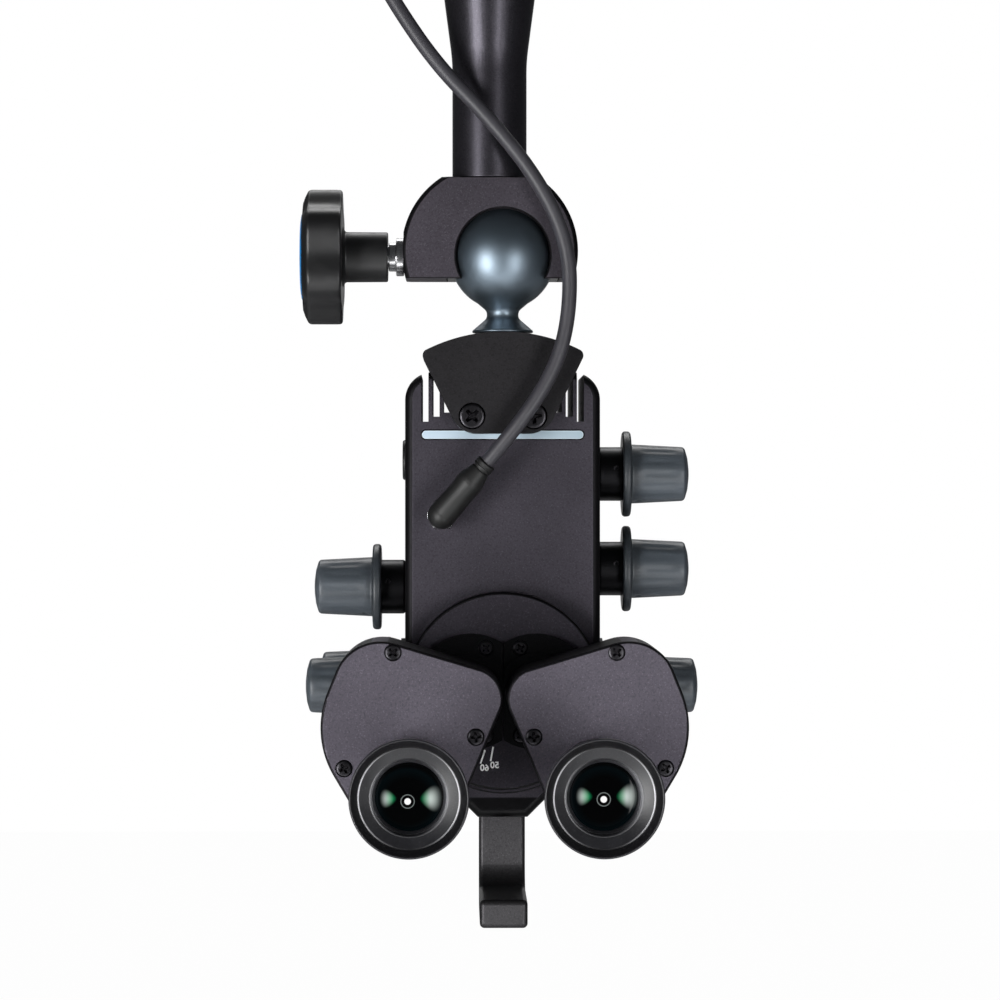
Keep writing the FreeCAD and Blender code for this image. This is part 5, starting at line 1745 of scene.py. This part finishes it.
@dataclass
class ScaleMarks:
    """Eye-distance marks on the base disc: two ticks with their numbers, printed left-right reversed."""

    face: float = -12.02
    height: float = 2.1
    film: float = 0.02

    def number(self, words: str, side: float, drop: float, finishes: Finishes) -> None:
        """Print one reversed number on the disc.

        Args:
            words: The number.
            side: How far it is beside the head's axis.
            drop: Its drop below the ball's centre.
            finishes: Every finish of the head.
        """
        curve = bpy.data.curves.new("scale_" + words, "FONT")
        curve.body = words
        curve.size = self.height / 0.7 * MM
        curve.extrude = self.film * MM
        curve.offset = 0.09 * MM
        curve.align_x = "CENTER"
        curve.align_y = "CENTER"
        mesh = evaluated(linked("scale_" + words, curve))
        upright = Matrix.Rotation(math.pi / 2, 4, "X")
        place = Matrix.Translation(Vector(head_place(side, self.face, drop)) * MM)
        mesh.transform(place @ Matrix.Diagonal((-1, 1, 1, 1)) @ upright)
        mesh.flip_normals()
        finished(mesh, "scale_" + words, finishes.mark, "head", smooth=0)

    def build(self, finishes: Finishes) -> None:
        """Make the ticks and the numbers.

        Args:
            finishes: Every finish of the head.
        """
        shape = bmesh.new()
        for start, end in (((-6.13, 167.9), (-7.66, 172.4)), ((-3.35, 166.7), (-4.24, 171.6))):
            first = Vector(head_place(start[0], 0, start[1]))
            second = Vector(head_place(end[0], 0, end[1]))
            across = (second - first).normalized().cross(Vector((0, 1, 0))) * 0.28
            outline = [first - across, second - across, second + across, first + across]
            flat = [(point.x, point.z) for point in outline]
            add_extruded(shape, Axis.Y, flat, self.face - self.film, self.face + self.film)
        finished(mesh_of(shape, "ticks"), "scale_ticks", finishes.mark, "head", smooth=0)
        self.number("60", -6.3, 173.9, finishes)
        self.number("50", -2.85, 173.0, finishes)


@dataclass
class LightStrip:
    """The pale light window, slightly crowned, in its thin groove, whose shade is painted dark on the
    window's border.
    """

    half: float = 28.0
    height: float = 3.6
    gap: float = 0.06

    def build(self, finishes: Finishes) -> None:
        """Make the window.

        Args:
            finishes: Every finish of the head.
        """
        reach = self.height / 2 - self.gap
        half = self.half - self.gap
        low, high = BALL_Z - STRIP_DROP - reach, BALL_Z - STRIP_DROP + reach
        corners = ((-half, low), (half, low), (half, high), (-half, high))
        outline = rounded_line([(HEAD_X + x, z, reach * 0.98) for x, z in corners], True, 10)
        shape = bmesh.new()
        add_extruded(shape, Axis.Y, outline, -2.0, -1.0)
        mesh = with_modifiers(mesh_of(shape, "strip"), edge_bevel(0.25, 3, 60))
        finished(even_shading(mesh, 50), "light_strip_window", finishes.strip, "head", "light_strip",
                 slot="light_window", smooth=0)


class Dressing:
    """Nodes whose CAD shape is right: each gets eased edges and its finish."""

    def sink_step(self, shape: BMesh) -> None:
        """Draw the base disc's outer step back level with the head's face above the ears.

        Args:
            shape: The disc's merged copy in metres.
        """
        for vert in shape.verts:
            radius = math.hypot(vert.co.x / MM - HEAD_X, vert.co.z / MM - OPTIC_Z)
            if radius > 33.0 and vert.co.z / MM > OPTIC_Z and vert.co.y / MM > -7.0:
                vert.co.y = max(vert.co.y, -1.9 * MM)

    def build(self, finishes: Finishes) -> None:
        """Dress every node that no other piece stands for.

        Args:
            finishes: Every finish of the head.
        """
        table = {
            "drop_tube": (finishes.arm, "arm_enamel", 0.3),
            "arm_collar": (finishes.plastic, "black_plastic", 0.3),
            "cable_gland": (finishes.plastic, "black_plastic", 0.2),
            "clamp_block": (finishes.clamp, "clamp_enamel", 0.5),
            "lock_nut": (finishes.steel, "bright_steel", 0.3),
            "clamp_stud": (finishes.steel, "bright_steel", 0.3),
            "ball_liner": (finishes.cell, "bright_steel", 0.2),
            "fan_bracket": (finishes.bracket, "bracket_enamel", 0.7),
            "head_housing": (finishes.head, "head_enamel", 0.3),
            "rear_cover": (finishes.head, "head_enamel", 0.3),
            "side_cap": (finishes.plastic, "black_plastic", 0.3),
            "lamp_module": (finishes.alloy, "lamp_alloy", 0.3),
            "collector_lenses": (finishes.glass, "optical_glass", 0.1),
            "fold_mirror": (finishes.mirror, "mirror_glass", 0.1),
            "dimmer": (finishes.plastic, "black_plastic", 0.2),
            "driver_board": (finishes.board, "board_green", 0.1),
            "left_pivot_hub": (finishes.hub, "head_enamel", 0.4),
            "right_pivot_hub": (finishes.hub, "head_enamel", 0.4),
            "handle_bar": (finishes.handle, "ear_enamel", 1.3),
            "objective_housing": (finishes.cell, "cell_alloy", 0.3),
            "front_glass": (finishes.glass, "optical_glass", 0.2),
            "magnification_drum": (finishes.cell, "cell_alloy", 0.2),
            "drum_lenses": (finishes.glass, "optical_glass", 0.1),
            "lens_cell": (finishes.cell, "cell_alloy", 0.2),
            "focusing_lens": (finishes.glass, "optical_glass", 0.1),
        }
        carried("binocular_base", finishes.base, "head_enamel", 0.3, 40, self.sink_step)
        for label in ("left", "right"):
            table[f"{label}_ear_housing"] = (finishes.ear, "ear_enamel", 0.6)
            table[f"{label}_ear_cover"] = (finishes.ear, "ear_enamel", 0.15)
            table[f"{label}_prism"] = (finishes.glass, "optical_glass", 0.3)
        for node, (material, slot, width) in table.items():
            carried(node, material, slot, width)


def build_controls(finishes: Finishes) -> None:
    """Make every grip of the side controls.

    Args:
        finishes: Every finish of the head.
    """
    for node, start, length, depth, drop in (
        ("brightness_grip", 42.0, 23.3, CONTROL_Y, BRIGHTNESS_DROP),
        ("filter_grip", 42.0, 23.3, CONTROL_Y, FILTER_DROP),
        ("spot_grip", 42.0, 23.3, CONTROL_Y, SPOT_DROP),
        ("left_drum_grip", 42.0, 26.4, CONTROL_Y, OPTIC_DROP),
        ("right_drum_grip", 42.0, 26.4, CONTROL_Y, OPTIC_DROP),
        ("focus_grip", 39.2, 26.4, FOCUS_Y, OPTIC_DROP),
    ):
        Grip(node, start, length, depth, drop).build(finishes)


def main() -> None:
    """Build the studio and every sub-assembly in order."""
    logging.basicConfig(level=logging.INFO, format="%(message)s")
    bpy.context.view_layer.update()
    finishes = Finishes()
    Studio().build()
    HeadCable().build(finishes)
    ClampKnob().build(finishes)
    BallStud().build(finishes)
    build_controls(finishes)
    Eyepiece(-1.0, "left", painted_glint_offset=(-0.5, -1.5)).build(finishes)
    Eyepiece(1.0, "right", painted_glint_offset=(0.0, -0.9)).build(finishes)
    HeadPlug().build(finishes)
    Collars().build(finishes)
    LightStrip().build(finishes)
    ScaleMarks().build(finishes)
    Screws().build(finishes)
    Dressing().build(finishes)


if __name__ == "__main__":
    main()
